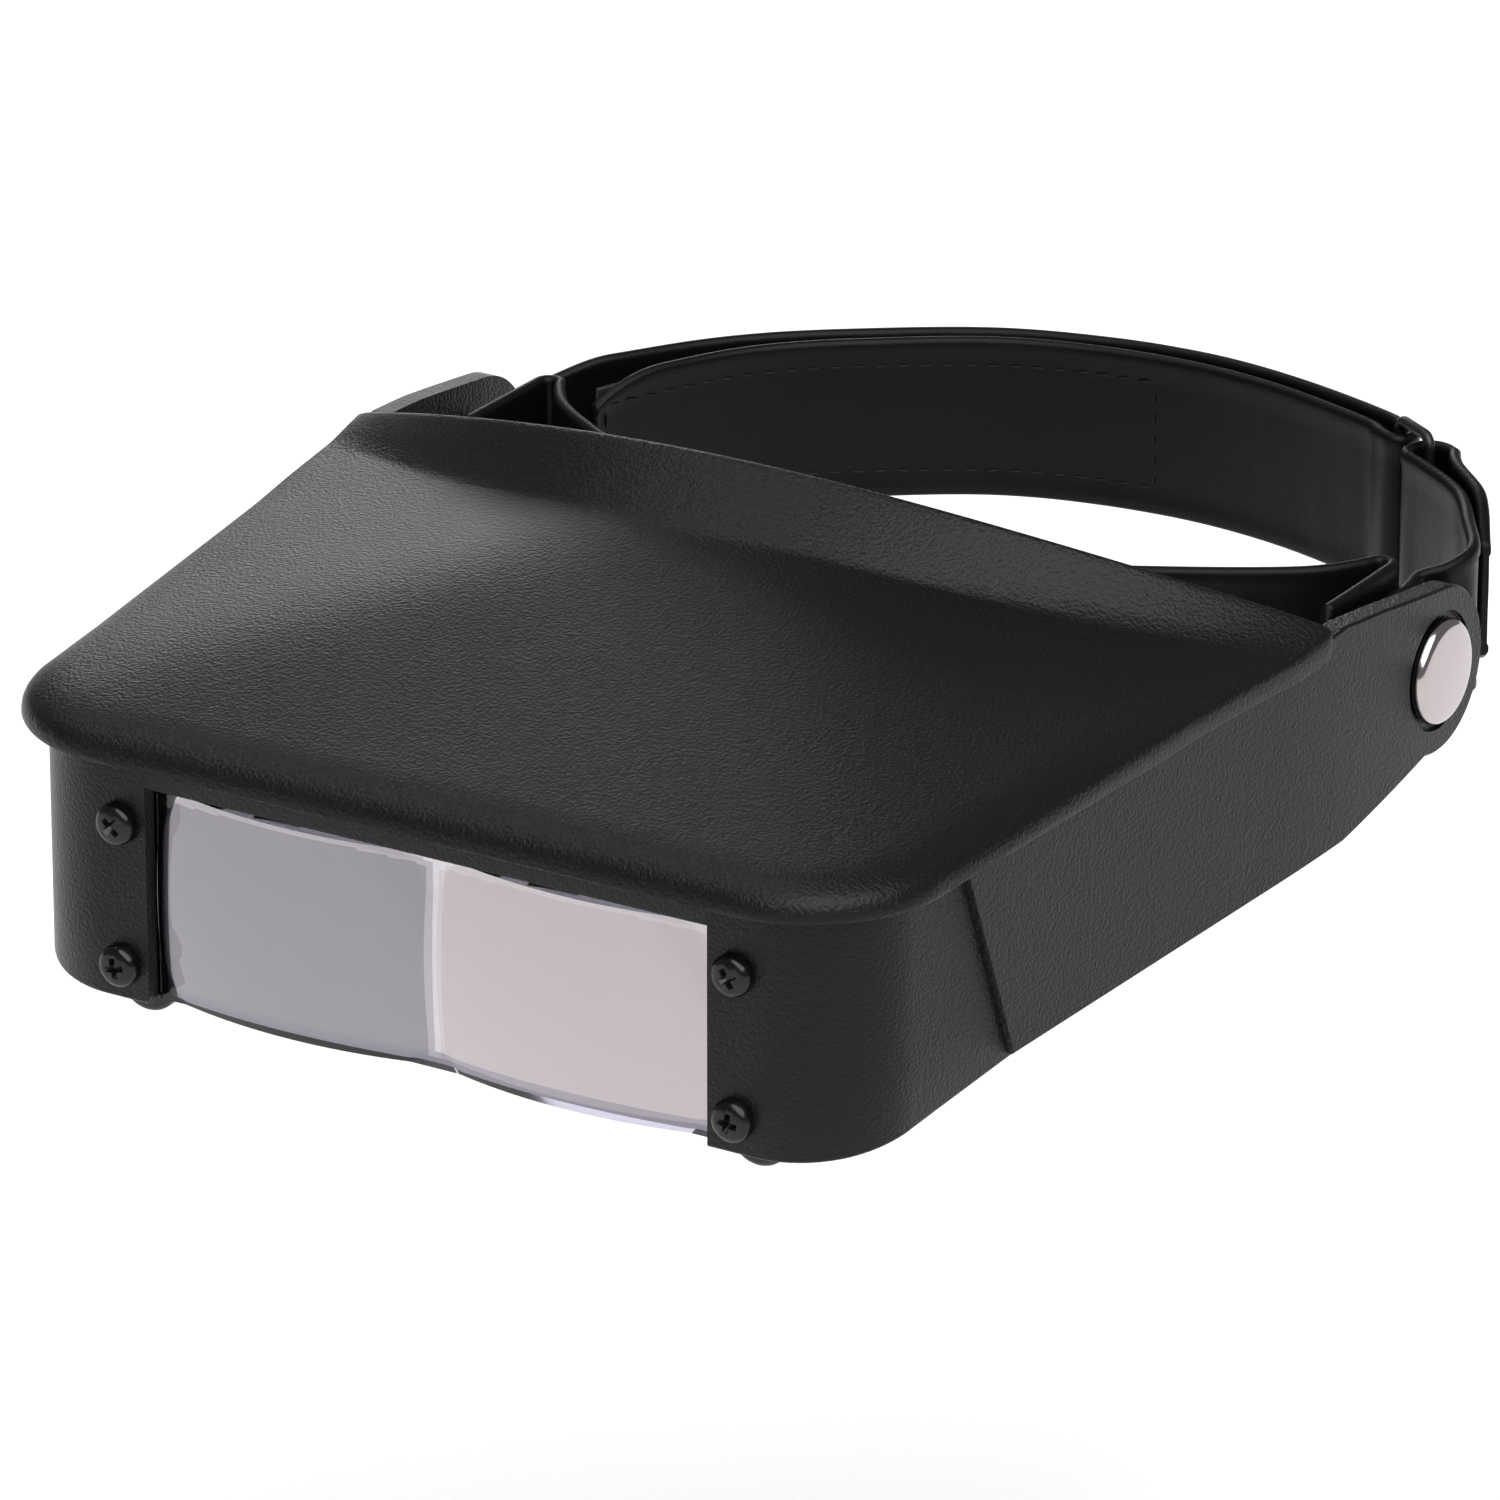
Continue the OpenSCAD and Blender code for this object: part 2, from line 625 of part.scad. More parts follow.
module adjusting_strap() {
    color("#1d1d1f") difference() {
        upright(strap_height) polygon(folded(adjusting_line, inner_offsets, inner_start));
        mirror([1, 0, 0])
            axial(strap_outer_x - strap_thickness - 0.5, strap_outer_x + 0.5, eyelet_hole);
    }
}

module hook_strip() {
    outer = [for (i = [inner_start + 1 : closed_from + 2 * path_steps])
        shifted(adjusting_line, i, -inner_offsets[i] + half)];
    inner = [for (i = [inner_start + 1 : closed_from + 2 * path_steps])
        shifted(adjusting_line, i, -inner_offsets[i] + half + patch_thickness)];
    color("#101011") upright(strap_height - 5) polygon(concat(outer, backwards(inner)));
}

module loop_strip() {
    color("#161618") upright(strap_height - 5)
        polygon(strip(
            adjusting_line, closed_from, adjusting_count - path_steps - 2, -half, -half - patch_thickness));
}

module strap_ring() {
    r = ring_wire / 2;
    cross_r = 0.85 * r;
    reach = strap_height / 2 + 0.6 + r;
    color("#111112") {
        for (bar = [ring_bar_rear, ring_bar_front]) translate([bar[0], bar[1], -reach - r])
            cylinder(h = 2 * (reach + r), r = r, $fn = round_fn);
        for (z = [-reach, reach]) translate([ring_bar_rear[0], ring_bar_rear[1], z])
            rotate([0, 0, ring_angle]) rotate([0, 90, 0])
                cylinder(h = ring_pitch, r = cross_r, $fn = round_fn);
    }
}

hood_shell();
lens_plate();
lens_clamp_left();
lens_clamp_right();
lens_screws();
snap_cap_left();
snap_cap_right();
snap_socket_left();
snap_socket_right();
snap_spring_left();
snap_spring_right();
snap_stud_left();
snap_stud_right();
snap_eyelet_left();
snap_eyelet_right();
forehead_band();
forehead_pad();
short_strap();
adjusting_strap();
strap_ring();
hook_strip();
loop_strip();
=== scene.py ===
"""Looks of a head visor magnifier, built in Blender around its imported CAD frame."""

import json
import logging
import math
from collections.abc import Callable, Sequence
from dataclasses import dataclass, field
from enum import Enum

import bmesh
import bpy
from mathutils import Matrix, Vector
from mathutils.geometry import delaunay_2d_cdt
from mathutils.kdtree import KDTree
from mathutils.noise import noise

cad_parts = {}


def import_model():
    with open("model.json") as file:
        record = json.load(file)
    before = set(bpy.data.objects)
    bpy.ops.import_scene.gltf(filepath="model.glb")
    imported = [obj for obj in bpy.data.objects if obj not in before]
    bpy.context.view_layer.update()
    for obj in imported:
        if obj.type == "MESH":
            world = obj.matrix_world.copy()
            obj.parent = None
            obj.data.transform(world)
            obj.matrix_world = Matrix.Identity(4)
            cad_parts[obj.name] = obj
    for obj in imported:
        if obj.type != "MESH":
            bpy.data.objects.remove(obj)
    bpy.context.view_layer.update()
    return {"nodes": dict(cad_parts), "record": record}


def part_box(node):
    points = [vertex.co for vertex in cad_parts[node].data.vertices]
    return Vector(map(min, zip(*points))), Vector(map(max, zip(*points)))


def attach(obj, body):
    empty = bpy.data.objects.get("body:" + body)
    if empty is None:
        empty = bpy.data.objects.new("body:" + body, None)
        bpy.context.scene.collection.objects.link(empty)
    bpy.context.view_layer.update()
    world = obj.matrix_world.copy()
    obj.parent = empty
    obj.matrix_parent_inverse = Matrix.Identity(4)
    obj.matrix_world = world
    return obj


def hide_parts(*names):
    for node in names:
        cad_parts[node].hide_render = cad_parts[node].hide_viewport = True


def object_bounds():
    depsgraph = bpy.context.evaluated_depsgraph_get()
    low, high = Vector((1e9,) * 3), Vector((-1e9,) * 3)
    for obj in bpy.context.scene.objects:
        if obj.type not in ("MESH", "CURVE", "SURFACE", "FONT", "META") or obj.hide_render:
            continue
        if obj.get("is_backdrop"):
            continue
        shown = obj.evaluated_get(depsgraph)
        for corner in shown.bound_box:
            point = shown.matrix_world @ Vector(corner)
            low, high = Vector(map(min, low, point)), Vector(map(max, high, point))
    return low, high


LOG = logging.getLogger("visor")
MM = 0.001
MERGE_MM = 0.002
Point = tuple[float, float, float]
Plan = tuple[float, float]


class Side(Enum):
    """The two sides of the visor, with the sign of their X."""

    LEFT = -1
    RIGHT = 1


class Body(Enum):
    """The CAD bodies that pieces ride on."""

    BAND = "headband"
    HOOD = "hood"
    RING = "ring"


# -------------------------------------------------------------- number helpers


def clamped(value: float) -> float:
    """The value held between 0 and 1."""
    return min(1.0, max(0.0, value))


def eased(t: float) -> float:
    """A smooth step from 0 to 1, level at both ends."""
    return t * t * (3 - 2 * t)


def rounded(t: float) -> float:
    """The drop of a unit quarter circle: 0 where t is 0, and 1 where t is 1."""
    return 1 - math.sqrt(max(0.0, 1 - t * t))


def cad_box(node: str) -> tuple[Vector, Vector]:
    """Lowest and highest corner of a CAD node in millimetres."""
    low, high = (Vector(corner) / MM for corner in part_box(node))
    return low, high


# ---------------------------------------------------------------- node helpers


def linear(hex_colour: str, alpha: float = 1.0) -> tuple[float, float, float, float]:
    """Turns an sRGB hex colour into linear RGBA.

    Args:
        hex_colour: Six hex digits after a hash sign.
        alpha: Opacity to append.

    Returns:
        Linear red, green, blue and alpha.
    """
    values = [int(hex_colour[i:i + 2], 16) / 255 for i in (1, 3, 5)]
    turned = [v / 12.92 if v <= 0.04045 else ((v + 0.055) / 1.055) ** 2.4 for v in values]
    return turned[0], turned[1], turned[2], alpha


def add_node(tree: bpy.types.NodeTree, kind: str, settings: dict | None = None,
             inputs: dict | None = None) -> bpy.types.Node:
    """Adds one node with its settings, socket values and incoming links.

    Args:
        tree: Node tree to add to.
        kind: Blender's node type name.
        settings: Attribute names and their values.
        inputs: Socket names or indices, each with a value or an output socket to link.

    Returns:
        The new node.
    """
    node = tree.nodes.new(kind)
    for name, value in (settings or {}).items():
        setattr(node, name, value)
    for name, value in (inputs or {}).items():
        if isinstance(value, bpy.types.NodeSocket):
            tree.links.new(value, node.inputs[name])
        else:
            node.inputs[name].default_value = value
    return node


# -------------------------------------------------------------------- finishes


# Cloudiness lies 22 mm apart and specks 2.2 grains apart; each takes this share of the worn colour.
CLOUD_MM = 22.0
CLOUD_SHARE = 0.16
SPECK_GRAINS = 2.2
SPECK_SHARE = 0.18
SHEEN_ROUGHNESS = 0.45
ACRYLIC_IOR = 1.49


@dataclass(frozen=True)
class Finish:
    """A finish with one colour, a little cloudiness and one grain.

    Sizes of the grain are real sizes in millimetres.
    """

    name: str
    colour: str
    worn: str
    roughness: float
    grain_mm: float
    grain_height_mm: float
    roughness_spread: float = 0.06
    metallic: float = 0.0
    specular: float = 0.5
    sheen: float = 0.0
    cells: bool = False
    stretch: Point = (1.0, 1.0, 1.0)
    wear: float = 0.25

    def build(self) -> bpy.types.Material:
        """Builds the finish as a Blender material.

        Returns:
            The material.
        """
        material = bpy.data.materials.new(self.name)
        material.use_nodes = True
        tree = material.node_tree
        shader = tree.nodes["Principled BSDF"]
        shader.inputs["Metallic"].default_value = self.metallic
        shader.inputs["Specular IOR Level"].default_value = self.specular
        shader.inputs["Sheen Weight"].default_value = self.sheen
        shader.inputs["Sheen Roughness"].default_value = SHEEN_ROUGHNESS
        place = add_node(tree, "ShaderNodeTexCoord").outputs["Object"]
        stretched = add_node(tree, "ShaderNodeMapping", inputs={"Vector": place, "Scale": self.stretch})
        fine = stretched.outputs["Vector"]
        self._colour(tree, shader, fine, place)
        self._surface(tree, shader, fine)
        return material

    def _colour(self, tree: bpy.types.NodeTree, shader: bpy.types.Node,
                fine: bpy.types.NodeSocket, place: bpy.types.NodeSocket) -> None:
        """Joins cloudiness and edge wear into the base colour and the roughness.

        Args:
            tree: The material's node tree.
            shader: Its main shader.
            fine: Coordinates of the grain.
            place: Coordinates of the piece.
        """
        cloud = add_node(tree, "ShaderNodeTexNoise", inputs={
            "Vector": place, "Scale": 1 / (CLOUD_MM * MM), "Detail": 3.0})
        specks = add_node(tree, "ShaderNodeTexNoise", inputs={
            "Vector": fine, "Scale": 1 / (SPECK_GRAINS * self.grain_mm * MM), "Detail": 2.0})
        point = add_node(tree, "ShaderNodeNewGeometry").outputs["Pointiness"]
        # A flat face has a pointiness of 0.5, and a sharp edge goes well past it.
        edges = add_node(tree, "ShaderNodeMapRange", inputs={
            "Value": point, "From Min": 0.52, "From Max": 0.62, "To Min": 0.0, "To Max": self.wear})
        worn = add_node(tree, "ShaderNodeMath", {"operation": "MULTIPLY_ADD"},
                        {0: cloud.outputs["Fac"], 1: CLOUD_SHARE, 2: edges.outputs["Result"]})
        speckled = add_node(tree, "ShaderNodeMath", {"operation": "MULTIPLY_ADD", "use_clamp": True},
                            {0: specks.outputs["Fac"], 1: SPECK_SHARE, 2: worn.outputs["Value"]})
        mix = add_node(tree, "ShaderNodeMix", {"data_type": "RGBA"}, {
            "Factor": speckled.outputs["Value"], 6: linear(self.colour), 7: linear(self.worn)})
        tree.links.new(mix.outputs[2], shader.inputs["Base Color"])
        rough = add_node(tree, "ShaderNodeMapRange", inputs={
            "Value": cloud.outputs["Fac"], "From Min": 0.3, "From Max": 0.7,
            "To Min": self.roughness - self.roughness_spread,
            "To Max": self.roughness + self.roughness_spread})
        tree.links.new(rough.outputs["Result"], shader.inputs["Roughness"])

    def _surface(self, tree: bpy.types.NodeTree, shader: bpy.types.Node,
                 fine: bpy.types.NodeSocket) -> None:
        """Adds the grain as a bump of its real height.

        Args:
            tree: The material's node tree.
            shader: Its main shader.
            fine: Coordinates of the grain.
        """
        if self.grain_height_mm <= 0:
            return
        scale = 1 / (self.grain_mm * MM)
        if self.cells:
            grain = add_node(tree, "ShaderNodeTexVoronoi", {"feature": "SMOOTH_F1"},
                             {"Vector": fine, "Scale": scale, "Smoothness": 0.6, "Randomness": 1.0})
            height = grain.outputs["Distance"]
        else:
            grain = add_node(tree, "ShaderNodeTexNoise", inputs={
                "Vector": fine, "Scale": scale, "Detail": 2.5, "Roughness": 0.55})
            height = grain.outputs["Fac"]
        bump = add_node(tree, "ShaderNodeBump", inputs={
            "Height": height, "Strength": 1.0, "Distance": self.grain_height_mm * MM})
        tree.links.new(bump.outputs["Normal"], shader.inputs["Normal"])


@dataclass(frozen=True)
class Acrylic:
    """Clear acrylic, cast and polished, with a tint that paints the light and shade seen through it."""

    name: str
    tint: str
    roughness: float

    def build(self) -> bpy.types.Material:
        """Builds the clear plastic as a Blender material.

        Returns:
            The material.
        """
        material = bpy.data.materials.new(self.name)
        material.use_nodes = True
        tree = material.node_tree
        shader = tree.nodes["Principled BSDF"]
        shader.inputs["Base Color"].default_value = linear(self.tint)
        shader.inputs["Transmission Weight"].default_value = 1.0
        shader.inputs["IOR"].default_value = ACRYLIC_IOR
        place = add_node(tree, "ShaderNodeTexCoord").outputs["Object"]
        # Faint wiping marks, 3 mm apart, keep the gloss from being perfect.
        wiped = add_node(tree, "ShaderNodeTexNoise", inputs={
            "Vector": place, "Scale": 1 / (3 * MM), "Detail": 4.0})
        rough = add_node(tree, "ShaderNodeMapRange", inputs={
            "Value": wiped.outputs["Fac"], "To Min": self.roughness, "To Max": self.roughness + 0.008})
        tree.links.new(rough.outputs["Result"], shader.inputs["Roughness"])
        return material


class Finishes:
    """Every finish of the visor, built once."""

    def __init__(self) -> None:
        """Builds the materials."""
        # Injection-moulded ABS: a strong pebble grain, 0.5 mm across, breaks the sheen into fine sparkle.
        self.hood = Finish("ABS_moulded_pebble_grain", "#0a0a0b", "#161617", 0.34, 0.52, 0.2,
                           roughness_spread=0.015, specular=0.21, wear=0.2).build()
        # Smooth moulded ABS of the clamp bars: plain gloss.
        self.clamp = Finish("ABS_moulded_smooth", "#070708", "#101012", 0.24, 0.8, 0.008,
                            specular=0.4).build()
        # Clear acrylic 3 mm and thicker. Each lens half bends other surroundings through it; their shade is
        # painted into its tint, cool and darker for the far half, warmer and paler for the near one. The
        # rim and the seam gather the most light, painted as a paler tint; the edge bands take a darker tint
        # as painted shade.
        self.lens_far_painted_shade = Acrylic("acrylic_far_half_painted_shade", "#8B888D", 0.004).build()
        self.lens = Acrylic("acrylic_near_half_painted_shade", "#B3AAAE", 0.004).build()
        self.lens_rim_painted_highlight = Acrylic("acrylic_rim_painted_highlight", "#C6C1C6", 0.01).build()
        self.lens_edge_painted_shade = Acrylic("acrylic_edge_painted_shade", "#7E7B87", 0.03).build()
        # Steel screws with black oxide: dark, semi-gloss, edges worn to bare steel.
        self.screw = Finish("steel_black_oxide_oiled", "#060607", "#161619", 0.2, 0.35, 0.004,
                            specular=0.35, wear=0.4).build()
        # Nickel-chrome plated caps: a clean mirror with faint polishing haze.
        self.cap = Finish("steel_chrome_plated_polished", "#B8AFB0", "#C9C2C2", 0.12, 2.5, 0.0006,
                          roughness_spread=0.03, metallic=1.0, wear=0.1).build()
        # Nickel-plated pressed steel of the hidden snap halves: satin.
        self.snap = Finish("steel_nickel_plated_pressed", "#9D9C9B", "#BDBCBA", 0.3, 0.8, 0.004,
                           metallic=1.0).build()
        # PVC leatherette, embossed: fine 0.7 mm hide cells, low sheen.
        self.vinyl = Finish("leatherette_pvc_embossed", "#060607", "#0e0e10", 0.42, 0.7, 0.03, cells=True,
                            roughness_spread=0.03, specular=0.14, wear=0.2).build()
        # The same leatherette stretched over foam: cells drawn out upright, softer shine.
        self.padding = Finish("leatherette_pvc_stretched", "#09090a", "#141416", 0.46, 0.8, 0.06,
                              cells=True, roughness_spread=0.03, specular=0.25, sheen=0.01,
                              stretch=(1.0, 1.0, 0.45), wear=0.2).build()
        # Bonded polyester thread, dyed like the vinyl: shows only by its twist and a duller surface.
        self.thread = Finish("thread_polyester_twisted", "#070708", "#101012", 0.5, 0.3, 0.02,
                             specular=0.2).build()
        # Powder-coated wire of the ring: semi-gloss black.
        self.wire = Finish("steel_wire_black_coated", "#070708", "#121214", 0.42, 0.5, 0.01).build()
        # Woven pile tapes: matt and fuzzy; the 0.5 mm tufts are drawn at 0.8 mm so that they show.
        self.pile = Finish("nylon_pile_tape", "#0b0b0c", "#1b1b1d", 0.85, 0.8, 0.25, sheen=0.1,
                           specular=0.3).build()


# ---------------------------------------------------------------- mesh helpers


def add_mesh(name: str, points: Sequence[Point], faces: Sequence[Sequence[int]],
             finish: bpy.types.Material) -> bpy.types.Object:
    """Makes a smooth-shaded mesh object from points in millimetres.

    Args:
        name: Object name.
        points: Corner points in millimetres.
        faces: Corner indices of each face.
        finish: Material of the whole piece.

    Returns:
        The new object, with its normals made consistent.
    """
    mesh = bpy.data.meshes.new(name)
    mesh.from_pydata([(x * MM, y * MM, z * MM) for x, y, z in points], [], [list(f) for f in faces])
    work = bmesh.new()
    work.from_mesh(mesh)
    bmesh.ops.remove_doubles(work, verts=work.verts, dist=MERGE_MM * MM)
    bmesh.ops.recalc_face_normals(work, faces=work.faces)
    work.to_mesh(mesh)
    work.free()
    mesh.materials.append(finish)
    mesh.shade_smooth()
    piece = bpy.data.objects.new(name, mesh)
    bpy.context.scene.collection.objects.link(piece)
    return piece


def apply_modifier(piece: bpy.types.Object, kind: str, **settings: object) -> None:
    """Adds one modifier with its settings and applies it to the mesh at once.

    Args:
        piece: Mesh object to change.
        kind: Blender's modifier type.
        settings: Attribute names and their values.
    """
    modifier = piece.modifiers.new(kind, kind)
    for name, value in settings.items():
        setattr(modifier, name, value)
    with bpy.context.temp_override(object=piece, active_object=piece, selected_objects=[piece]):
        bpy.ops.object.modifier_apply(modifier=modifier.name)


def joined(pieces: Sequence[bpy.types.Object], name: str) -> bpy.types.Object:
    """Joins several mesh objects into the first and renames it.

    Args:
        pieces: Mesh objects, of which the first is kept.
        name: New name of the object and its mesh.

    Returns:
        The joined object.
    """
    with bpy.context.temp_override(
            active_object=pieces[0], object=pieces[0], selected_objects=list(pieces),
            selected_editable_objects=list(pieces)):
        bpy.ops.object.join()
    pieces[0].name = name
    pieces[0].data.name = name
    return pieces[0]


def skin(rings: int, around: int, base: int = 0) -> list[Sequence[int]]:
    """Faces of a tube of equal rings of points, closed at both ends.

    Args:
        rings: Number of rings.
        around: Number of points in each ring.
        base: Index of the first ring's first point.

    Returns:
        Corner indices of the bands between the rings, and then of the two ends.
    """
    bands: list[Sequence[int]] = [
        (base + r * around + k, base + r * around + (k + 1) % around,
         base + (r + 1) * around + (k + 1) % around, base + (r + 1) * around + k)
        for r in range(rings - 1) for k in range(around)]
    last = base + (rings - 1) * around
    return bands + [list(range(base, base + around)), list(range(last, last + around))]


def lathe(name: str, profile: Sequence[Plan], finish: bpy.types.Material,
          turns: int = 64) -> bpy.types.Object:
    """Turns a profile of (radius, height) about Z into a closed piece.

    Args:
        name: Object name.
        profile: Radii and heights in millimetres, from the lower pole to the upper one.
        finish: Material.
        turns: Number of steps round the axis.

    Returns:
        The new object, standing on the origin.
    """
    points = [(r * math.cos(2 * math.pi * k / turns), r * math.sin(2 * math.pi * k / turns), h)
              for r, h in profile for k in range(turns)]
    return add_mesh(name, points, skin(len(profile), turns), finish)


def moved(piece: bpy.types.Object, matrix: Matrix) -> bpy.types.Object:
    """Moves a piece's mesh by a matrix in millimetres and keeps its object at the origin.

    Args:
        piece: Mesh object to move.
        matrix: Rotation, and translation in millimetres.

    Returns:
        The same object.
    """
    scaled = matrix.copy()
    scaled.translation = matrix.translation * MM
    piece.data.transform(scaled)
    piece.data.update()
    return piece


def stacked(name: str, rings: Sequence[Sequence[Point]], finish: bpy.types.Material) -> bpy.types.Object:
    """Skins a stack of rings and closes it at both ends.

    Args:
        name: Object name.
        rings: Rings of equally many points; each one runs out along a strip and back.
        finish: Material.

    Returns:
        The new closed piece.
    """
    n = len(rings[0])
    points = [p for ring in rings for p in ring]
    faces = skin(len(rings), n)[:-2]
    for base in (0, (len(rings) - 1) * n):
        faces += [(base + i, base + i + 1, base + n - 2 - i, base + n - 1 - i) for i in range(n // 2 - 1)]
    return add_mesh(name, points, faces, finish)


# ----------------------------------------------------------------- plan curves


@dataclass
class PlanLine:
    """A smooth line in plan through given knots, in millimetres."""

    points: list[Vector]

    @classmethod
    def through(cls, knots: Sequence[Plan], steps: int = 6) -> "PlanLine":
        """Makes the smooth line through all the knots.

        Args:
            knots: Points that the line passes through.
            steps: Number of steps between two knots.

        Returns:
            The line.
        """
        k = [Vector(p) for p in knots]
        found = []
        for i in range(len(k) - 1):
            a, b, c, d = k[max(i - 1, 0)], k[i], k[i + 1], k[min(i + 2, len(k) - 1)]
            for s in range(steps):
                t = s / steps
                found.append(0.5 * (2 * b + (c - a) * t + (2 * a - 5 * b + 4 * c - d) * t * t
                                    + (3 * b - a - 3 * c + d) * t ** 3))
        return cls(found + [k[-1]])

    def along(self, i: int) -> Vector:
        """Direction of the line at point i."""
        last = len(self.points) - 1
        return (self.points[min(i + 1, last)] - self.points[max(i - 1, 0)]).normalized()

    def beside(self, i: int) -> Vector:
        """Left-hand side of the line at point i."""
        d = self.along(i)
        return Vector((-d.y, d.x))

    def shifted(self, i: int, distance: float) -> Vector:
        """Point i moved to the line's left by a distance."""
        return self.points[i] + distance * self.beside(i)

    def evened(self, step: float) -> "PlanLine":
        """The same line with points an equal step apart.

        Args:
            step: Distance between two points.

        Returns:
            The new line, which ends where this one does.
        """
        found = [self.points[0]]
        left = step
        for a, b in zip(self.points, self.points[1:]):
            length = (b - a).length
            at = left
            while at <= length:
                found.append(a.lerp(b, at / length))
                at += step
            left = at - length
        if (found[-1] - self.points[-1]).length > step / 3:
            found.append(self.points[-1])
        return PlanLine(found)


def arc(centre: Vector, radius: float, start: float, end: float, steps: int) -> list[Vector]:
    """Points of an arc in plan between two angles in degrees, both ends in.

    Args:
        centre: The arc's centre.
        radius: The arc's radius.
        start: First angle.
        end: Last angle.
        steps: Number of steps between them.

    Returns:
        The points, one more than the steps.
    """
    turn = [math.radians(start + (end - start) * i / steps) for i in range(steps + 1)]
    return [centre + radius * Vector((math.cos(a), math.sin(a))) for a in turn]


def sweep(name: str, line: PlanLine, profile: Sequence[Plan], finish: bpy.types.Material,
          stir: Callable[[float, float, float], tuple[float, float]] | None = None) -> bpy.types.Object:
    """Carries an upright profile along a plan line.

    Args:
        name: Object name.
        line: Evenly stepped plan line.
        profile: Closed profile of (distance to the left, height).
        finish: Material.
        stir: Small added offset and lift at (distance along, profile offset, height).

    Returns:
        The new closed piece.
    """
    points: list[Point] = []
    run = 0.0
    for i, at in enumerate(line.points):
        run += (at - line.points[i - 1]).length if i else 0.0
        side = line.beside(i)
        for offset, height in profile:
            extra, lift = stir(run, offset, height) if stir else (0.0, 0.0)
            spot = at + (offset + extra) * side
            points.append((spot.x, spot.y, height + lift))
    return add_mesh(name, points, skin(len(line.points), len(profile)), finish)


def hemmed_profile(thickness: float, height: float, hem: float, hollow: float,
                   rows: int = 9) -> list[Plan]:
    """Profile of a strap whose two long edges are turned hems, a little thicker than its middle.

    Args:
        thickness: Thickness at the hems.
        height: Full height.
        hem: Height of each hem.
        hollow: How far each face is sunk between the hems.
        rows: Number of points up the middle of each face.

    Returns:
        The closed profile.
    """
    half, top, slope = thickness / 2, height / 2, 0.7
    face = [(half - hollow, -top + hem + (height - 2 * hem) * i / (rows - 1)) for i in range(rows)]
    round_end = [(half * math.cos(math.radians(a)), top - half + half * math.sin(math.radians(a)))
                 for a in range(0, 181, 20)]
    left = [(half, -top + half), (half, -top + hem - slope)] + face + [(half, top - hem + slope)]
    right = [(-x, z) for x, z in reversed(left)]
    bottom = [(x, -z) for x, z in reversed(round_end)]
    return left + round_end + right + bottom


@dataclass
class Stitching:
    """Rows of thread stitches, collected into one piece."""

    finish: bpy.types.Material
    length: float = 2.3
    gap: float = 0.9
    radius: float = 0.2
    step: float = 0.25
    points: list[Point] = field(default_factory=list)
    faces: list[Sequence[int]] = field(default_factory=list)

    def stitch(self, start: Vector, end: Vector, out: Vector) -> None:
        """Adds one stitch, a low arch between two points that stands out of the face.

        Args:
            start: Where the thread comes out.
            end: Where it goes back in.
            out: Direction out of the face.
        """
        rings, sides = 6, 6
        along = (end - start).normalized()
        across = along.cross(out)
        base = len(self.points)
        for r in range(rings + 1):
            t = r / rings
            swell = math.sin(math.pi * t)
            middle = start.lerp(end, t) + out * (self.radius * (0.9 * swell - 0.35))
            thick = self.radius * (0.55 + 0.45 * swell)
            for k in range(sides):
                a = 2 * math.pi * k / sides
                self.points.append(tuple(middle + thick * (math.cos(a) * across + math.sin(a) * out)))
        self.faces += skin(rings + 1, sides, base)

    def level_row(self, line: PlanLine, offset: float, height: float, start: int, stop: int) -> None:
        """Sews a level row along a plan line.

        Args:
            line: Evenly stepped plan line.
            offset: Distance of the sewn face to the line's left.
            height: Level of the row.
            start: First point of the line that is sewn.
            stop: Point before which the row ends.
        """
        run = PlanLine(line.points[start:stop])
        path = [run.shifted(i, offset) for i in range(len(run.points))]
        fine = PlanLine(path).evened(self.step)
        pitch = round((self.length + self.gap) / self.step)
        span = round(self.length / self.step)
        sign = 1 if offset > 0 else -1
        for i in range(2, len(fine.points) - span - 1, pitch):
            a, b = fine.points[i], fine.points[i + span]
            n = fine.beside(i + span // 2) * sign
            self.stitch(Vector((a.x, a.y, height)), Vector((b.x, b.y, height)), Vector((n.x, n.y, 0)))

    def upright_row(self, line: PlanLine, offset: float, at: int, low: float, high: float) -> None:
        """Sews an upright row across a strap at point `at` of its plan line.

        Args:
            line: Evenly stepped plan line.
            offset: Distance of the sewn face to the line's left.
            at: Point of the line.
            low: Lowest level of the row.
            high: Highest level of the row.
        """
        spot = line.shifted(at, offset)
        n = line.beside(at) * (1 if offset > 0 else -1)
        z = low
        while z + self.length <= high:
            start, end = Vector((spot.x, spot.y, z)), Vector((spot.x, spot.y, z + self.length))
            self.stitch(start, end, Vector((n.x, n.y, 0)))
            z += self.length + self.gap

    def build(self, name: str) -> bpy.types.Object:
        """Makes the collected stitches one piece."""
        return add_mesh(name, self.points, self.faces, self.finish)


# ------------------------------------------------------------------------ hood


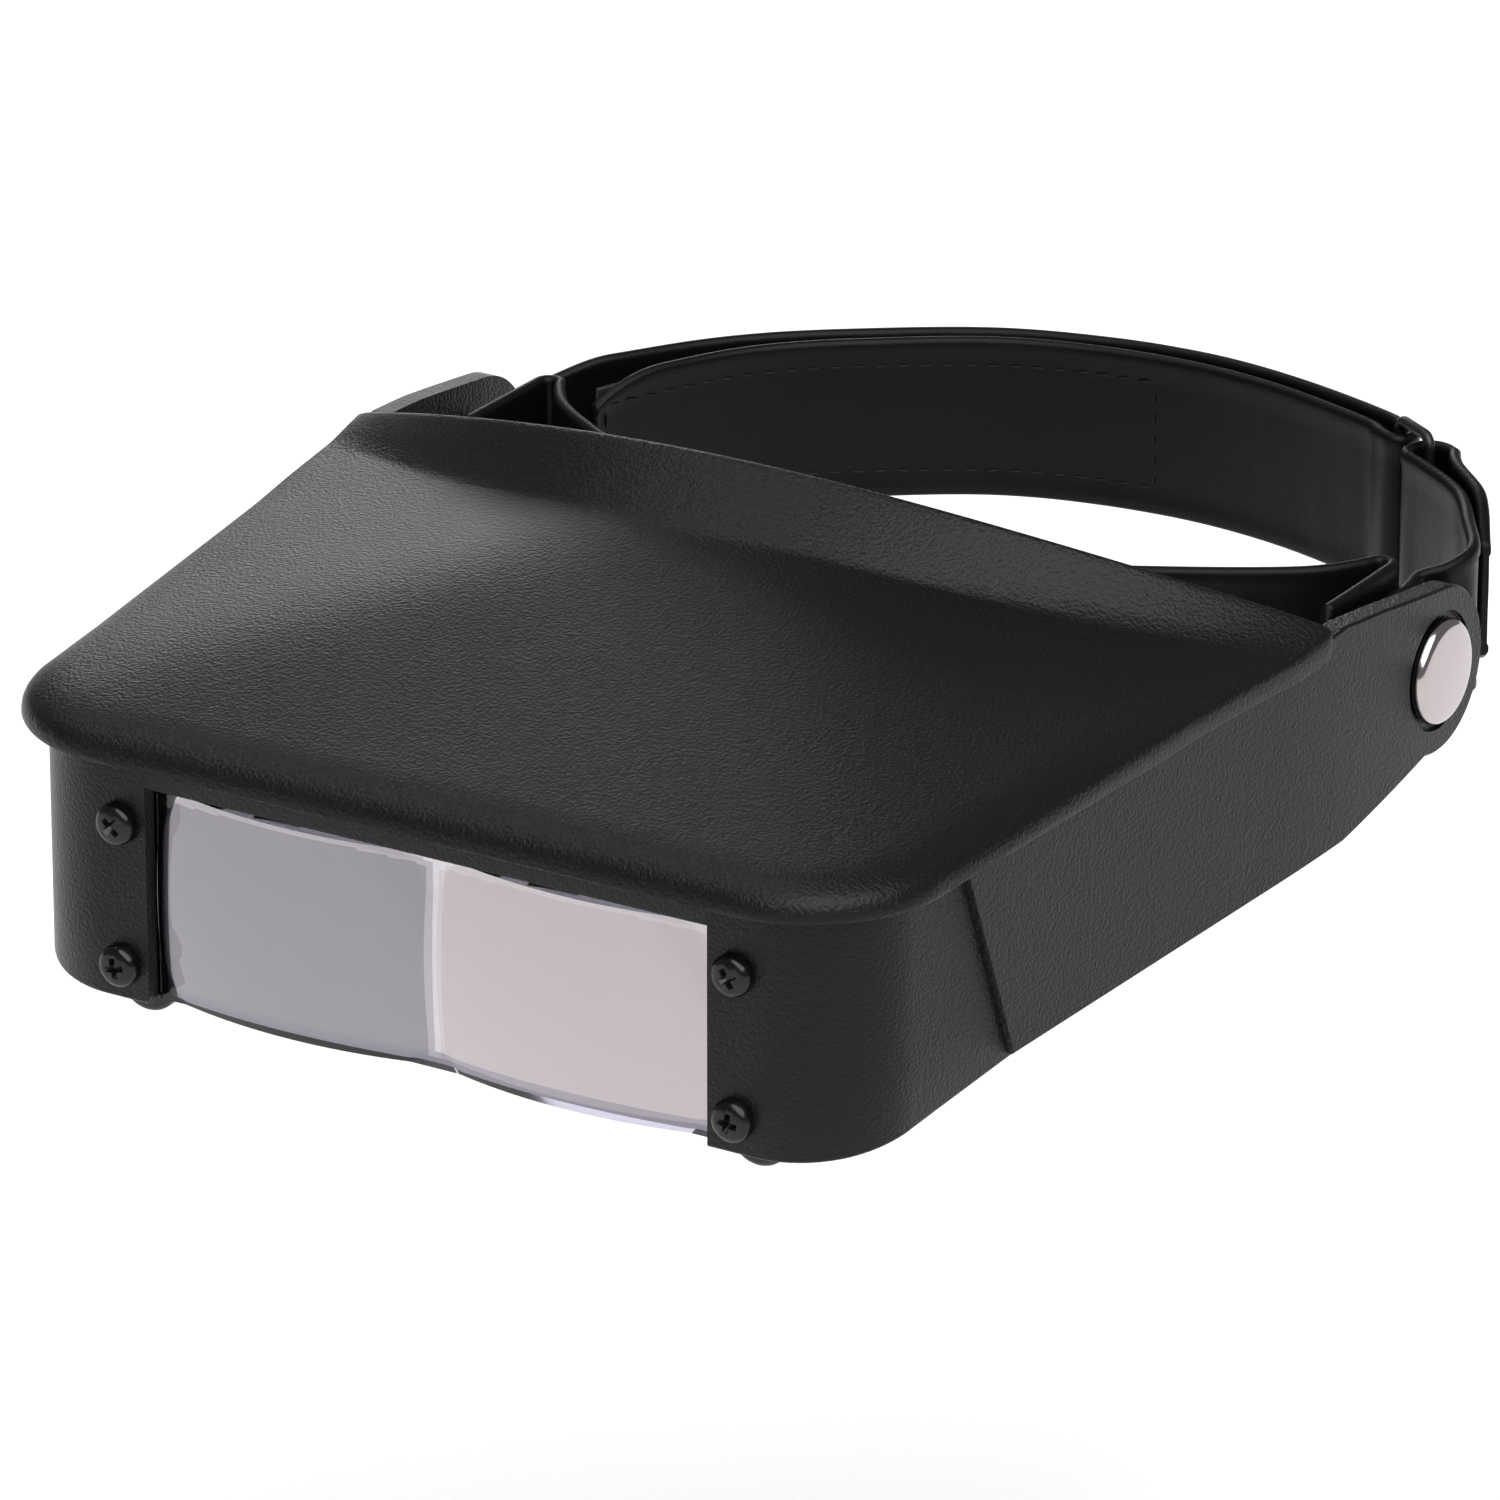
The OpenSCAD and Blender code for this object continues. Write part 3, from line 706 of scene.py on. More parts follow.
@dataclass
class Hood:
    """The moulded hood: a hipped roof that rolls down to its lip, walls, raised arm panels and a brim.

    Lengths are in millimetres. The crease and the brim are power curves of the share of the half width.
    """

    finishes: Finishes
    reach: float = 133.0
    half_width: float = 79.5
    flare: float = 0.12
    bend: float = 40.0
    wall: float = 2.2
    step: float = 1.0
    corner: float = 16.0
    front_bottom: float = -28.5
    lip_top: float = 10.4
    lip_height: float = 4.4
    overhang: float = 4.0
    roof_wall: float = 2.4
    roof_rise: float = 0.207
    roof_lift: float = 0.8
    hip_rise: float = 0.2
    ridge_softness: float = 1.2
    edge_slope: float = 0.036
    edge_overhang: float = 0.35
    edge_flare: float = 2.25
    edge_flare_from: float = 60.0
    edge_flare_run: float = 60.0
    brim_top: float = 33.2
    brim_forward: float = 52.8
    brim_sweep: float = 25.0
    brim_power: float = 2.2
    brim_sink: float = 0.3
    brim_drop: float = 16.8
    crease_ahead: float = 13.0
    crease_sweep: float = 29.0
    crease_power: float = 1.6
    crease_softness: float = 0.05
    arm_end: float = 12.0
    arm_front: float = 23.0
    window_half: float = 43.8
    window_top: float = 2.9
    roll_width: float = 7.0
    roll_rear: float = 0.6
    roll_front: float = 2.7
    roll_from: float = 50.0
    roll_run: float = 55.0
    brim_roll: float = 0.9
    mesh_pitch: float = 1.9
    edge_zone: float = 8.2
    sharp_angle: float = 38.0

    @property
    def corner_y(self) -> float:
        """Y at which the side edges start to turn into the front corners."""
        return -self.reach + self.corner

    def arm_x(self, y: float) -> float:
        """Distance of an arm panel's outer face from the middle plane at y.

        Args:
            y: Place from front to rear.

        Returns:
            The distance in millimetres.
        """
        if y >= 0:
            return self.half_width
        if y >= -self.bend:
            return self.half_width - self.flare * y * y / (2 * self.bend)
        return self.half_width - self.flare * self.bend / 2 + self.flare * (y + self.bend)

    def edge_z(self, y: float) -> float:
        """Upper level of the roof's outer edge at y."""
        return self.lip_top + self.edge_slope * (y + self.reach + self.overhang)

    def edge_x(self, y: float) -> float:
        """Distance of the roof's outer edge from the middle plane at y."""
        flare = clamped((-y - self.edge_flare_from) / self.edge_flare_run)
        return self.arm_x(y) + self.edge_overhang + self.edge_flare * flare

    def roll(self, x: float, y: float) -> float:
        """How far the roof has rolled down near its front and side rim.

        Args:
            x: Distance from the middle plane.
            y: Place from front to rear.

        Returns:
            The drop in millimetres.
        """
        radius = self.corner + self.overhang
        across = max(0.0, abs(x) - self.edge_x(max(y, self.corner_y)) + radius)
        ahead = max(0.0, self.corner_y - y)
        t = 1 - clamped((radius - math.hypot(across, ahead)) / self.roll_width)
        share = clamped((-y - self.roll_from) / self.roll_run)
        return (self.roll_rear + (self.roll_front - self.roll_rear) * share) * rounded(t)

    def plain_z(self, x: float, y: float) -> float:
        """Level of the roof before its rim rolls down: the middle plane blended into the two hips.

        Args:
            x: Distance from the middle plane.
            y: Place from front to rear.

        Returns:
            The level in millimetres.
        """
        soft = self.ridge_softness
        rise = self.roof_rise * (y + self.reach + self.overhang)
        middle = self.edge_z(-self.reach) + self.roof_lift + rise
        hip = self.edge_z(y) + self.roof_lift + self.hip_rise * (self.edge_x(y) - abs(x))
        return -soft * math.log(math.exp(-middle / soft) + math.exp(-hip / soft))

    def crease_y(self, u: float) -> float:
        """Y of the crease between the roof and the brim strip, at a share u of the half width."""
        return -self.brim_forward - self.crease_ahead + self.crease_sweep * abs(u) ** self.crease_power

    def brim_y(self, u: float) -> float:
        """Y of the brim's free edge at a share u of the half width."""
        return -self.brim_forward + self.brim_sweep * abs(u) ** self.brim_power

    def brim_z(self, u: float) -> float:
        """Level of the brim's free edge at a share u of the half width."""
        return self.brim_top - self.brim_sink - self.brim_drop * abs(u) ** (self.brim_power * 0.95)

    def base_z(self, x: float, y: float) -> float:
        """Level of the whole upper face before its rim rolls down, brim strip included.

        Args:
            x: Distance from the middle plane.
            y: Place from front to rear.

        Returns:
            The level in millimetres.
        """
        u = max(-1.0, min(1.0, x / self.edge_x(max(y, self.corner_y))))
        start, end = self.crease_y(u), self.brim_y(u)
        soft, settle, plain_before = self.crease_softness, 0.12, -0.6
        t = (y - start) / (end - start)
        if t <= plain_before:
            return self.plain_z(x, y)
        climb = (math.sqrt(t * t + soft * soft) + t) / 2 - soft * settle
        low = self.plain_z(u * self.edge_x(min(y, start)), min(y, start))
        crease = self.plain_z(u * self.edge_x(start), start)
        return low + (self.brim_z(u) - crease) * max(0.0, climb)

    def _outline(self) -> list[Vector]:
        """Plan outline of the roof, 1 mm apart, with softened corners.

        Returns:
            The closed outline, without its first point repeated.
        """
        half = self.edge_x(self.corner_y)
        radius = self.corner + self.overhang
        corner_steps, side_step, brim_steps, soft_passes = 30, 2, 60, 4
        loop = arc(Vector((-half + radius, self.corner_y)), radius, 180, 270, corner_steps)
        loop += arc(Vector((half - radius, self.corner_y)), radius, 270, 360, corner_steps)
        y, rear = self.corner_y + side_step, self.brim_y(1)
        while y < rear:
            loop.append(Vector((self.edge_x(y), y)))
            y += side_step
        shares = [1 - i / brim_steps for i in range(2 * brim_steps + 1)]
        loop += [Vector((u * self.edge_x(self.brim_y(u)), self.brim_y(u))) for u in shares]
        y = rear - side_step
        while y > self.corner_y + side_step / 2:
            loop.append(Vector((-self.edge_x(y), y)))
            y -= side_step
        even = PlanLine(loop + [loop[0]]).evened(1.0).points[:-1]
        for _ in range(soft_passes):
            n = len(even)
            even = [(even[i - 1] + 2 * even[i] + even[(i + 1) % n]) / 4 for i in range(n)]
        return even

    def _roof_plan(self, outline: list[Vector], near: KDTree) -> list[Vector]:
        """Plan points of the roof: its outline, rows beside the rim and the crease, and an even field.

        Args:
            outline: Plan outline of the roof.
            near: Search tree of the outline's points.

        Returns:
            All the points, with the outline first.
        """
        n = len(outline)
        plan = list(outline)
        # Rows close together where the rim rolls, and wider apart further in.
        for depth in (0.15, 0.45, 0.9, 1.7, 3.0, 4.8, 7.0):
            for i in range(0, n, 1 if depth < 2 else 2):
                along = (outline[(i + 1) % n] - outline[i - 1]).normalized()
                spot = outline[i] + depth * Vector((-along.y, along.x))
                if near.find((spot.x, spot.y, 0))[2] > 0.93 * depth:
                    plan.append(spot)
        crease_steps, crease_zone = 70, 2.8
        for i in range(2 * crease_steps + 1):
            u = i / crease_steps - 1
            for off in (-1.8, -0.9, -0.3, 0.3, 0.9, 1.8):
                spot = Vector((u * self.edge_x(self.crease_y(u)), self.crease_y(u) + off))
                if near.find((spot.x, spot.y, 0))[2] > self.edge_zone:
                    plan.append(spot)
        pitch, field_half, field_front, field_depth = self.mesh_pitch, 82, -136, 120
        for j in range(int(field_depth / pitch)):
            for i in range(int(2 * field_half / pitch)):
                spot = Vector((-field_half + pitch * (i + 0.5 * (j % 2)), field_front + pitch * j))
                u = spot.x / self.edge_x(spot.y)
                clear_of_crease = abs(u) > 1 or abs(spot.y - self.crease_y(u)) > crease_zone
                clear_of_rim = near.find((spot.x, spot.y, 0))[2] > self.edge_zone
                if clear_of_rim and spot.y < self.brim_y(u) and clear_of_crease:
                    plan.append(spot)
        return plan

    def _roof_levels(self, x: float, y: float, d: float) -> tuple[float, float]:
        """Levels of the roof's two faces at a plan point.

        Args:
            x: Distance from the middle plane.
            y: Place from front to rear.
            d: Distance from the nearest outline point.

        Returns:
            The level of the upper face, and that of the lower one.
        """
        edge_roll, lip_width, under_roll, least_wall = 1.1, 5, 0.6, 0.4
        brim_from, brim_fade, side_from, side_fade, brim_extra = -66, 20, 78, 8, 0.2
        base = self.base_z(x, y)
        high = base - self.roll(x, y) - self.brim_roll * rounded(1 - min(1.0, d / edge_roll))
        # The deep lip of the sides and the front thins out to a plain rim along the brim.
        at_brim = clamped((y - brim_from) / brim_fade) * clamped((side_from - abs(x)) / side_fade)
        lip = self.lip_height * (1 - at_brim) + (self.roof_wall + brim_extra) * at_brim
        under = self.roof_wall + (lip - self.roof_wall) * eased(max(0.0, 1 - d / lip_width))
        low = base - under + under_roll * rounded(1 - min(1.0, d / under_roll))
        return high, min(high - least_wall, low)

    def _roof(self) -> bpy.types.Object:
        """The roof as a closed slab over its plan outline.

        Returns:
            The new piece.
        """
        outline = self._outline()
        n = len(outline)
        near = KDTree(n)
        for i, p in enumerate(outline):
            near.insert((p.x, p.y, 0), i)
        near.balance()
        plan = self._roof_plan(outline, near)
        flat, _, faces, _, _, _ = delaunay_2d_cdt(plan, [], [list(range(n))], 1, 1e-4)
        top: list[Point] = []
        low: list[Point] = []
        count = len(flat)
        owner = KDTree(count)
        for i, p in enumerate(flat):
            upper, lower = self._roof_levels(p.x, p.y, near.find((p.x, p.y, 0))[2])
            top.append((p.x, p.y, upper))
            low.append((p.x, p.y, lower))
            owner.insert((p.x, p.y, 0), i)
        owner.balance()
        shell = [tuple(f) for f in faces] + [tuple(count + k for k in reversed(f)) for f in faces]
        rim = [owner.find((p.x, p.y, 0))[1] for p in outline]
        shell += [(rim[i], rim[(i + 1) % n], count + rim[(i + 1) % n], count + rim[i]) for i in range(n)]
        return add_mesh("roof", top + low, shell, self.finishes.hood)

    def _wall_line(self, inset: float, back_to: float) -> list[Plan]:
        """Plan of the right wall from the window's side round the corner to the rear.

        Args:
            inset: Distance in from the arm panel's outer face.
            back_to: Y at which the wall ends.

        Returns:
            Points from front to rear.
        """
        slant = math.cos(math.atan(self.flare))
        full = self.corner + self.step
        centre = Vector((self.arm_x(self.corner_y) - full / slant, self.corner_y))
        corner_steps, lead_steps, side_step = 28, 6, 3
        end_angle = -math.degrees(math.atan(self.flare))
        line = [(p.x, p.y) for p in arc(centre, full - inset, -90, end_angle, corner_steps)]
        start_x, start_y = line[0]
        lead = [(self.window_half + (start_x - self.window_half) * i / lead_steps, start_y)
                for i in range(lead_steps)]
        y = self.corner_y + side_step
        while y < back_to - 1:
            line.append((self.arm_x(y) - inset / slant, y))
            y += side_step
        return lead + line + [(self.arm_x(back_to) - inset / slant, back_to)]

    def _side_bottom(self, y: float) -> float:
        """Lower level of the walls ahead of the arm panels.

        Args:
            y: Place from front to rear.

        Returns:
            The level in millimetres.
        """
        knots = [(-self.reach - 1, self.front_bottom), (-self.reach + 5, self.front_bottom + 1.0),
                 (-self.reach + 15, -25.6), (-97.0, -22.6), (-60.0, -18.0)]
        for (y0, z0), (y1, z1) in zip(knots, knots[1:]):
            if y <= y1:
                return z0 + (z1 - z0) * max(0.0, (y - y0) / (y1 - y0))
        return knots[-1][1]

    def _wall(self, side: Side) -> bpy.types.Object:
        """One side wall with its front leg; its lower edge is rounded and its top is sunk in the roof.

        Args:
            side: The side it stands on.

        Returns:
            The new piece.
        """
        edge, rear, sunk = 0.6, -62, 1.6
        rings: list[list[Point]] = []
        for angle in (0, 30, 60, 90):
            swing = math.radians(angle)
            shrink, lift = edge * (1 - math.sin(swing)), edge * (1 - math.cos(swing))
            line = (self._wall_line(self.step + shrink, rear)
                    + self._wall_line(self.step + self.wall - shrink, rear)[::-1])
            rings.append([(side.value * x, y, self._side_bottom(y) + lift) for x, y in line])
        for share in (0.25, 0.5, 0.75, 1.0):
            rings.append([(x, y, z + (self.edge_z(y) - sunk - z) * share) for x, y, z in rings[3]])
        return stacked("wall", rings, self.finishes.hood)

    def _beam(self) -> bpy.types.Object:
        """The bar over the window, with a rounded lower edge.

        Returns:
            The new piece.
        """
        reach_x, edge, behind, height = self.window_half + 2, 0.4, 0.03, 6.0
        rings: list[list[Point]] = []
        for shrink, lift in ((edge, 0.0), (edge * 0.3, edge * 0.3), (0.0, edge), (0.0, height)):
            front, back = -self.reach + behind + shrink, -self.reach + self.wall - behind - shrink
            level = self.window_top + lift
            rings.append([(reach_x, front, level), (reach_x, back, level), (-reach_x, back, level),
                          (-reach_x, front, level)])
        return stacked("beam", rings, self.finishes.hood)

    def _arm_levels(self, y: float) -> tuple[float, float]:
        """Lower and upper level of an arm panel's side at y.

        Args:
            y: Place from front to rear.

        Returns:
            The two levels in millimetres.
        """
        lows = [(-self.reach + 34, -22.0), (-25.0, -16.6), (-0.28 * self.arm_end, -0.96 * self.arm_end)]
        first = -self.reach + self.arm_front - 3
        highs = [(first, self.edge_z(first) - 1.8), (-40.0, self.edge_z(-40) - 1.6), (-30.0, 14.4),
                 (-25.0, 15.0), (-16.0, 14.2), (0.1 * self.arm_end, 0.995 * self.arm_end)]
        found = []
        for knots in (lows, highs):
            level = knots[0][1]
            for (y0, z0), (y1, z1) in zip(knots, knots[1:]):
                if y >= y0:
                    level = z0 + (z1 - z0) * min(1.0, (y - y0) / (y1 - y0))
            found.append(level)
        round_half = math.sqrt(max(0.0, self.arm_end ** 2 - y * y))
        low = -round_half if y > lows[-1][0] else found[0]
        high = round_half if y > highs[-1][0] else found[1]
        top_y, top_z = -self.reach + self.arm_front, found[1]
        slant_y, slant_z = lows[0]
        if y < slant_y:
            low = top_z + (slant_z - top_z) * max(0.0, (y - top_y) / (slant_y - top_y))
        return low, high

    def _arm(self, side: Side) -> bpy.types.Object:
        """One raised arm panel with its rounded end and the shallow seat of its cap.

        Args:
            side: The side it stands on.

        Returns:
            The new piece.
        """
        # Stations from front to rear: the slanted front edge, the panel, its hump and its round end.
        slant, hump_y, round_y, hair = 11, -25, -3.4, 0.03
        stations = [-self.reach + self.arm_front + 0.02 + slant * i / 12 for i in range(12)]
        panel_y = stations[-1] + 1
        stations += [panel_y + (hump_y - panel_y) * i / 40 for i in range(40)]
        stations += [hump_y + (round_y - hump_y) * i / 16 for i in range(16)]
        stations += [round_y + (self.arm_end - hair - round_y) * math.sin(math.pi / 2 * i / 26)
                     for i in range(27)]
        rows, edge = 24, 0.35
        thick = self.wall + self.step

        def side_x(y: float, inset: float) -> float:
            """X of a face of the arm, an inset in from its outer face."""
            return side.value * (self.arm_x(y) - inset)

        pairs = [(y, *self._arm_levels(y)) for y in stations]
        points: list[Point] = []
        for y, low, high in pairs:
            pinch = min(edge, (high - low) / 3)
            for k in range(rows + 1):
                points.append((side_x(y, 0.0), y, low + pinch + (high - low - 2 * pinch) * k / rows))
        for y, low, high in pairs:
            points.append((side_x(y, edge), y, low))
            points.append((side_x(y, edge), y, high))
            points.append((side_x(y, thick), y, low))
            points.append((side_x(y, thick), y, high))
        w, n, base = rows + 1, len(stations), len(stations) * (rows + 1)
        faces: list[Sequence[int]] = []
        for i in range(n - 1):
            faces += [(i * w + k, i * w + k + 1, (i + 1) * w + k + 1, (i + 1) * w + k) for k in range(rows)]
            a, b = base + 4 * i, base + 4 * i + 4
            faces += [(i * w, (i + 1) * w, b, a), (i * w + rows, (i + 1) * w + rows, b + 1, a + 1),
                      (a, b, b + 2, a + 2), (a + 1, b + 1, b + 3, a + 3), (a + 2, b + 2, b + 3, a + 3)]
        for i in (0, n - 1):
            a = base + 4 * i
            faces.append([i * w + k for k in range(w)] + [a + 1, a + 3, a + 2, a])
        arm = add_mesh("arm", points, faces, self.finishes.hood)
        seat_depth = 0.65
        cutter = lathe("cutter", [(8.35, 0), (8.5, 0.15), (8.6, 3)], self.finishes.hood, turns=96)
        turn = Matrix.Rotation(side.value * math.pi / 2, 4, "Y")
        moved(cutter, Matrix.Translation((side.value * (self.half_width - seat_depth), 0, 0)) @ turn)
        apply_modifier(arm, "BOOLEAN", object=cutter, operation="DIFFERENCE", solver="EXACT")
        bpy.data.objects.remove(cutter)
        return arm

    def build(self) -> bpy.types.Object:
        """Builds the hood as one moulding and puts it on its body.

        Returns:
            The hood.
        """
        shells = [self._roof(), self._beam()]
        for side in Side:
            shells += [self._wall(side), self._arm(side)]
        hood = joined(shells, "hood_moulding")
        hood.data.shade_smooth()
        hood.data.set_sharp_from_angle(angle=math.radians(self.sharp_angle))
        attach(hood, Body.HOOD.value)
        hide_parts("hood_shell")
        return hood


# ---------------------------------------------------------------- lens and screws


class LensZone(Enum):
    """Zones of the lens plate, by the place of their finish on the mesh; each zone's tint is painted light
    and shade.
    """

    NEAR = 0
    EDGE = 1
    FAR = 2
    RIM = 3


@dataclass
class LensPlate:
    """The clear plate with two convex lenses, a flat rim and two clamped ears."""

    finishes: Finishes
    radius: float = 74.0
    proud: float = 1.2
    seam: float = 1.8
    rim: float = 1.5
    top_rim: float = 0.5
    top_crescent: float = 1.2
    ear: float = 3.0
    ear_chamfer: float = 0.5
    play: float = 0.3
    columns: int = 176
    rows: int = 96

    def _front(self, x: float, z: float, reach: float, half: float, middle_z: float,
               back: float) -> float:
        """Y of the front face at x, z: the nearer sphere or the flat rim behind it.

        Args:
            x: Distance from the middle plane.
            z: Level.
            reach: Distance of the hood's front face from the pivots.
            half: Half width of the two lenses.
            middle_z: Level of their centres.
            back: Y of the plate's back.

        Returns:
            The place from front to rear.
        """
        across = max(self.seam / 2, abs(x)) - half / 2
        inside = self.radius ** 2 - across ** 2 - (z - middle_z) ** 2
        dome = -reach - self.proud + self.radius - math.sqrt(inside)
        return min(dome, back - self.ear + 0.2)

    def build(self, hood: Hood) -> bpy.types.Object:
        """Builds the plate inside its CAD node's box.

        Args:
            hood: The hood whose window the plate fills.

        Returns:
            The plate.
        """
        low, high = cad_box("lens_plate")
        half = hood.window_half - self.play
        middle = (low.z + high.z) / 2
        columns, rows = self.columns, self.rows
        xs = [-half + 2 * half * i / columns for i in range(columns + 1)]
        zs = [low.z + (high.z - low.z) * j / rows for j in range(rows + 1)]
        front = [(x, self._front(x, z, hood.reach, half, middle, high.y), z) for z in zs for x in xs]
        back = [(x, high.y, z) for z in zs for x in xs]
        w, n = columns + 1, len(front)
        faces: list[Sequence[int]] = []
        for j in range(rows):
            for i in range(columns):
                a = j * w + i
                faces += [(a, a + 1, a + w + 1, a + w), (n + a, n + a + w, n + a + w + 1, n + a + 1)]
        smooth_count = len(faces)
        rim = (list(range(w)) + [j * w + columns for j in range(1, rows + 1)]
               + [rows * w + i for i in range(columns - 1, -1, -1)]
               + [j * w for j in range(rows - 1, 0, -1)])
        faces += [(a, b, n + b, n + a) for a, b in zip(rim, rim[1:] + rim[:1])]
        plate = add_mesh("lens_acrylic_plate", front + back, faces, self.finishes.lens)
        for finish in (self.finishes.lens_edge_painted_shade, self.finishes.lens_far_painted_shade, self.finishes.lens_rim_painted_highlight):
            plate.data.materials.append(finish)
        # Painted light by zone: the left and lower edge bands and the far half get painted shade, the near
        # half a paler painted shade, and the top crescent and the seam a painted highlight.
        for polygon in plate.data.polygons:
            x, z = polygon.center.x / MM, polygon.center.z / MM
            sideways = min(1.0, abs(abs(x) - half / 2) / (half / 2))
            crescent = self.top_rim + self.top_crescent * sideways ** 2
            zone = LensZone.NEAR
            if polygon.index >= smooth_count:
                zone = LensZone.EDGE
                polygon.use_smooth = False
            elif z < low.z + self.rim or x < -half + self.rim:
                zone = LensZone.EDGE
            elif z > high.z - crescent or abs(x) < self.seam / 2:
                zone = LensZone.RIM
            elif x < 0:
                zone = LensZone.FAR
            polygon.material_index = zone.value
        plate.data.set_sharp_from_angle(angle=math.radians(30))
        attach(plate, Body.HOOD.value)
        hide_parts("lens_plate")
        for side in Side:
            self._ear(side, half, low, high)
        return plate

    def _ear(self, side: Side, half: float, low: Vector, high: Vector) -> None:
        """One flat ear behind the front wall.

        Args:
            side: The side it is on.
            half: Half width of the two lenses.
            low: Lowest corner of the plate's box.
            high: Highest corner of the plate's box.
        """
        front, chamfer = high.y - self.ear, self.ear_chamfer
        outline = [(half, front), (high.x - chamfer, front), (high.x, front + chamfer),
                   (high.x, high.y), (half, high.y)]
        points = [(side.value * x, y, z) for z in (low.z, high.z) for x, y in outline]
        ear = add_mesh(f"lens_ear_{side.name.lower()}", points, skin(2, len(outline)),
                       self.finishes.lens_edge_painted_shade)
        ear.data.shade_flat()
        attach(ear, Body.HOOD.value)


@dataclass
class Screws:
    """Pan-head screws with cross recesses."""

    finishes: Finishes
    head_radius: float = 3.0
    head_height: float = 2.2
    rim_height: float = 0.8
    crown_width: float = 1.35
    pitch: float = 20.5
    recess_reach: float = 1.75
    recess_depth: float = 1.25
    turns: tuple[float, ...] = (12, 47, 80, 31)

    def _recess(self, turn: float) -> bpy.types.Object:
        """A tapered bar that cuts one arm of the cross recess, turned about Z.

        Args:
            turn: Angle in radians.

        Returns:
            The cutter.
        """
        top, low = self.head_height + 0.3, self.head_height - self.recess_depth
        level_sizes = ((low, 0.45 * self.recess_reach, 0.32), (top, self.recess_reach, 0.5))
        corners = [(sx * long, sy * wide, z) for z, long, wide in level_sizes
                   for sx, sy in ((-1, -1), (1, -1), (1, 1), (-1, 1))]
        bar = add_mesh("recess", corners, skin(2, 4), self.finishes.screw)
        return moved(bar, Matrix.Rotation(turn, 4, "Z"))

    def _head(self) -> bpy.types.Object:
        """One head with its recess, its seat on the origin and its crown along +Z.

        Returns:
            The new head.
        """
        radius, height = self.head_radius, self.head_height
        profile = [(1.4, 0.0), (radius - 0.25, 0.0), (radius - 0.05, 0.12), (radius, 0.4),
                   (radius - 0.02, self.rim_height)]
        profile += [(radius - 0.02 - self.crown_width * (1 - math.cos(t)),
                     self.rim_height + (height - 1.0) * math.sin(t))
                    for t in (0.25, 0.5, 0.75, 1.0, 1.25)]
        profile += [(1.1, height - 0.06), (0.4, height)]
        head = lathe("head", profile, self.finishes.screw)
        for turn in (0, math.pi / 2):
            cutter = self._recess(turn)
            apply_modifier(head, "BOOLEAN", object=cutter, operation="DIFFERENCE", solver="EXACT")
            bpy.data.objects.remove(cutter)
        apply_modifier(head, "BEVEL", width=0.07 * MM, segments=2, limit_method="ANGLE", angle_limit=0.7)
        head.data.shade_smooth()
        return head

    def build(self, hood: Hood) -> bpy.types.Object:
        """Sets the four screws and stands them for their CAD node.

        Args:
            hood: The hood whose front face they clamp.

        Returns:
            The four screws as one piece.
        """
        low, high = cad_box("lens_screws")
        x = high.x - self.head_radius
        middle_z = (low.z + high.z) / 2
        heads = []
        spots = [(sx * x, middle_z + sz * self.pitch / 2) for sx in (-1, 1) for sz in (-1, 1)]
        for (at_x, at_z), angle in zip(spots, self.turns):
            turn = Matrix.Rotation(math.radians(angle), 4, "Z")
            place = Matrix.Translation((at_x, -hood.reach, at_z)) @ Matrix.Rotation(math.pi / 2, 4, "X")
            heads.append(moved(self._head(), place @ turn))
        screws = joined(heads, "screws_pan_head")
        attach(screws, Body.HOOD.value)
        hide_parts("lens_screws")
        return screws


@dataclass
class Clamps:
    """The two obround bars that hold the lens plate's ears."""

    finishes: Finishes
    edge: float = 0.9

    def build(self, side: Side) -> bpy.types.Object:
        """Builds one bar with rounded edges inside its CAD node's box.

        Args:
            side: The side it is on.

        Returns:
            The bar.
        """
        name = f"lens_clamp_{side.name.lower()}"
        low, high = cad_box(name)
        radius = (high.x - low.x) / 2
        x = (low.x + high.x) / 2

        def outline(shrink: float) -> list[Plan]:
            """Obround outline of (x, z) points, drawn in by an amount.

            Args:
                shrink: The amount.

            Returns:
                The closed outline.
            """
            r = radius - shrink
            top = [(x + r * math.cos(math.radians(a)), high.z - radius + r * math.sin(math.radians(a)))
                   for a in range(0, 181, 9)]
            bottom = [(x + r * math.cos(math.radians(a)), low.z + radius + r * math.sin(math.radians(a)))
                      for a in range(180, 361, 9)]
            return top + bottom

        turns = [math.radians(a) for a in range(0, 91, 15)]
        rings = [(self.edge * (1 - math.sin(t)), low.y + self.edge * (1 - math.cos(t))) for t in turns]
        rings += [(self.edge * (1 - math.cos(t)), high.y - self.edge * (1 - math.sin(t))) for t in turns]
        points = [(px, y, pz) for shrink, y in rings for px, pz in outline(shrink)]
        faces = skin(len(rings), len(outline(0)))
        bar = add_mesh(f"clamp_bar_{side.name.lower()}", points, faces, self.finishes.clamp)
        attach(bar, Body.HOOD.value)
        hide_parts(name)
        return bar


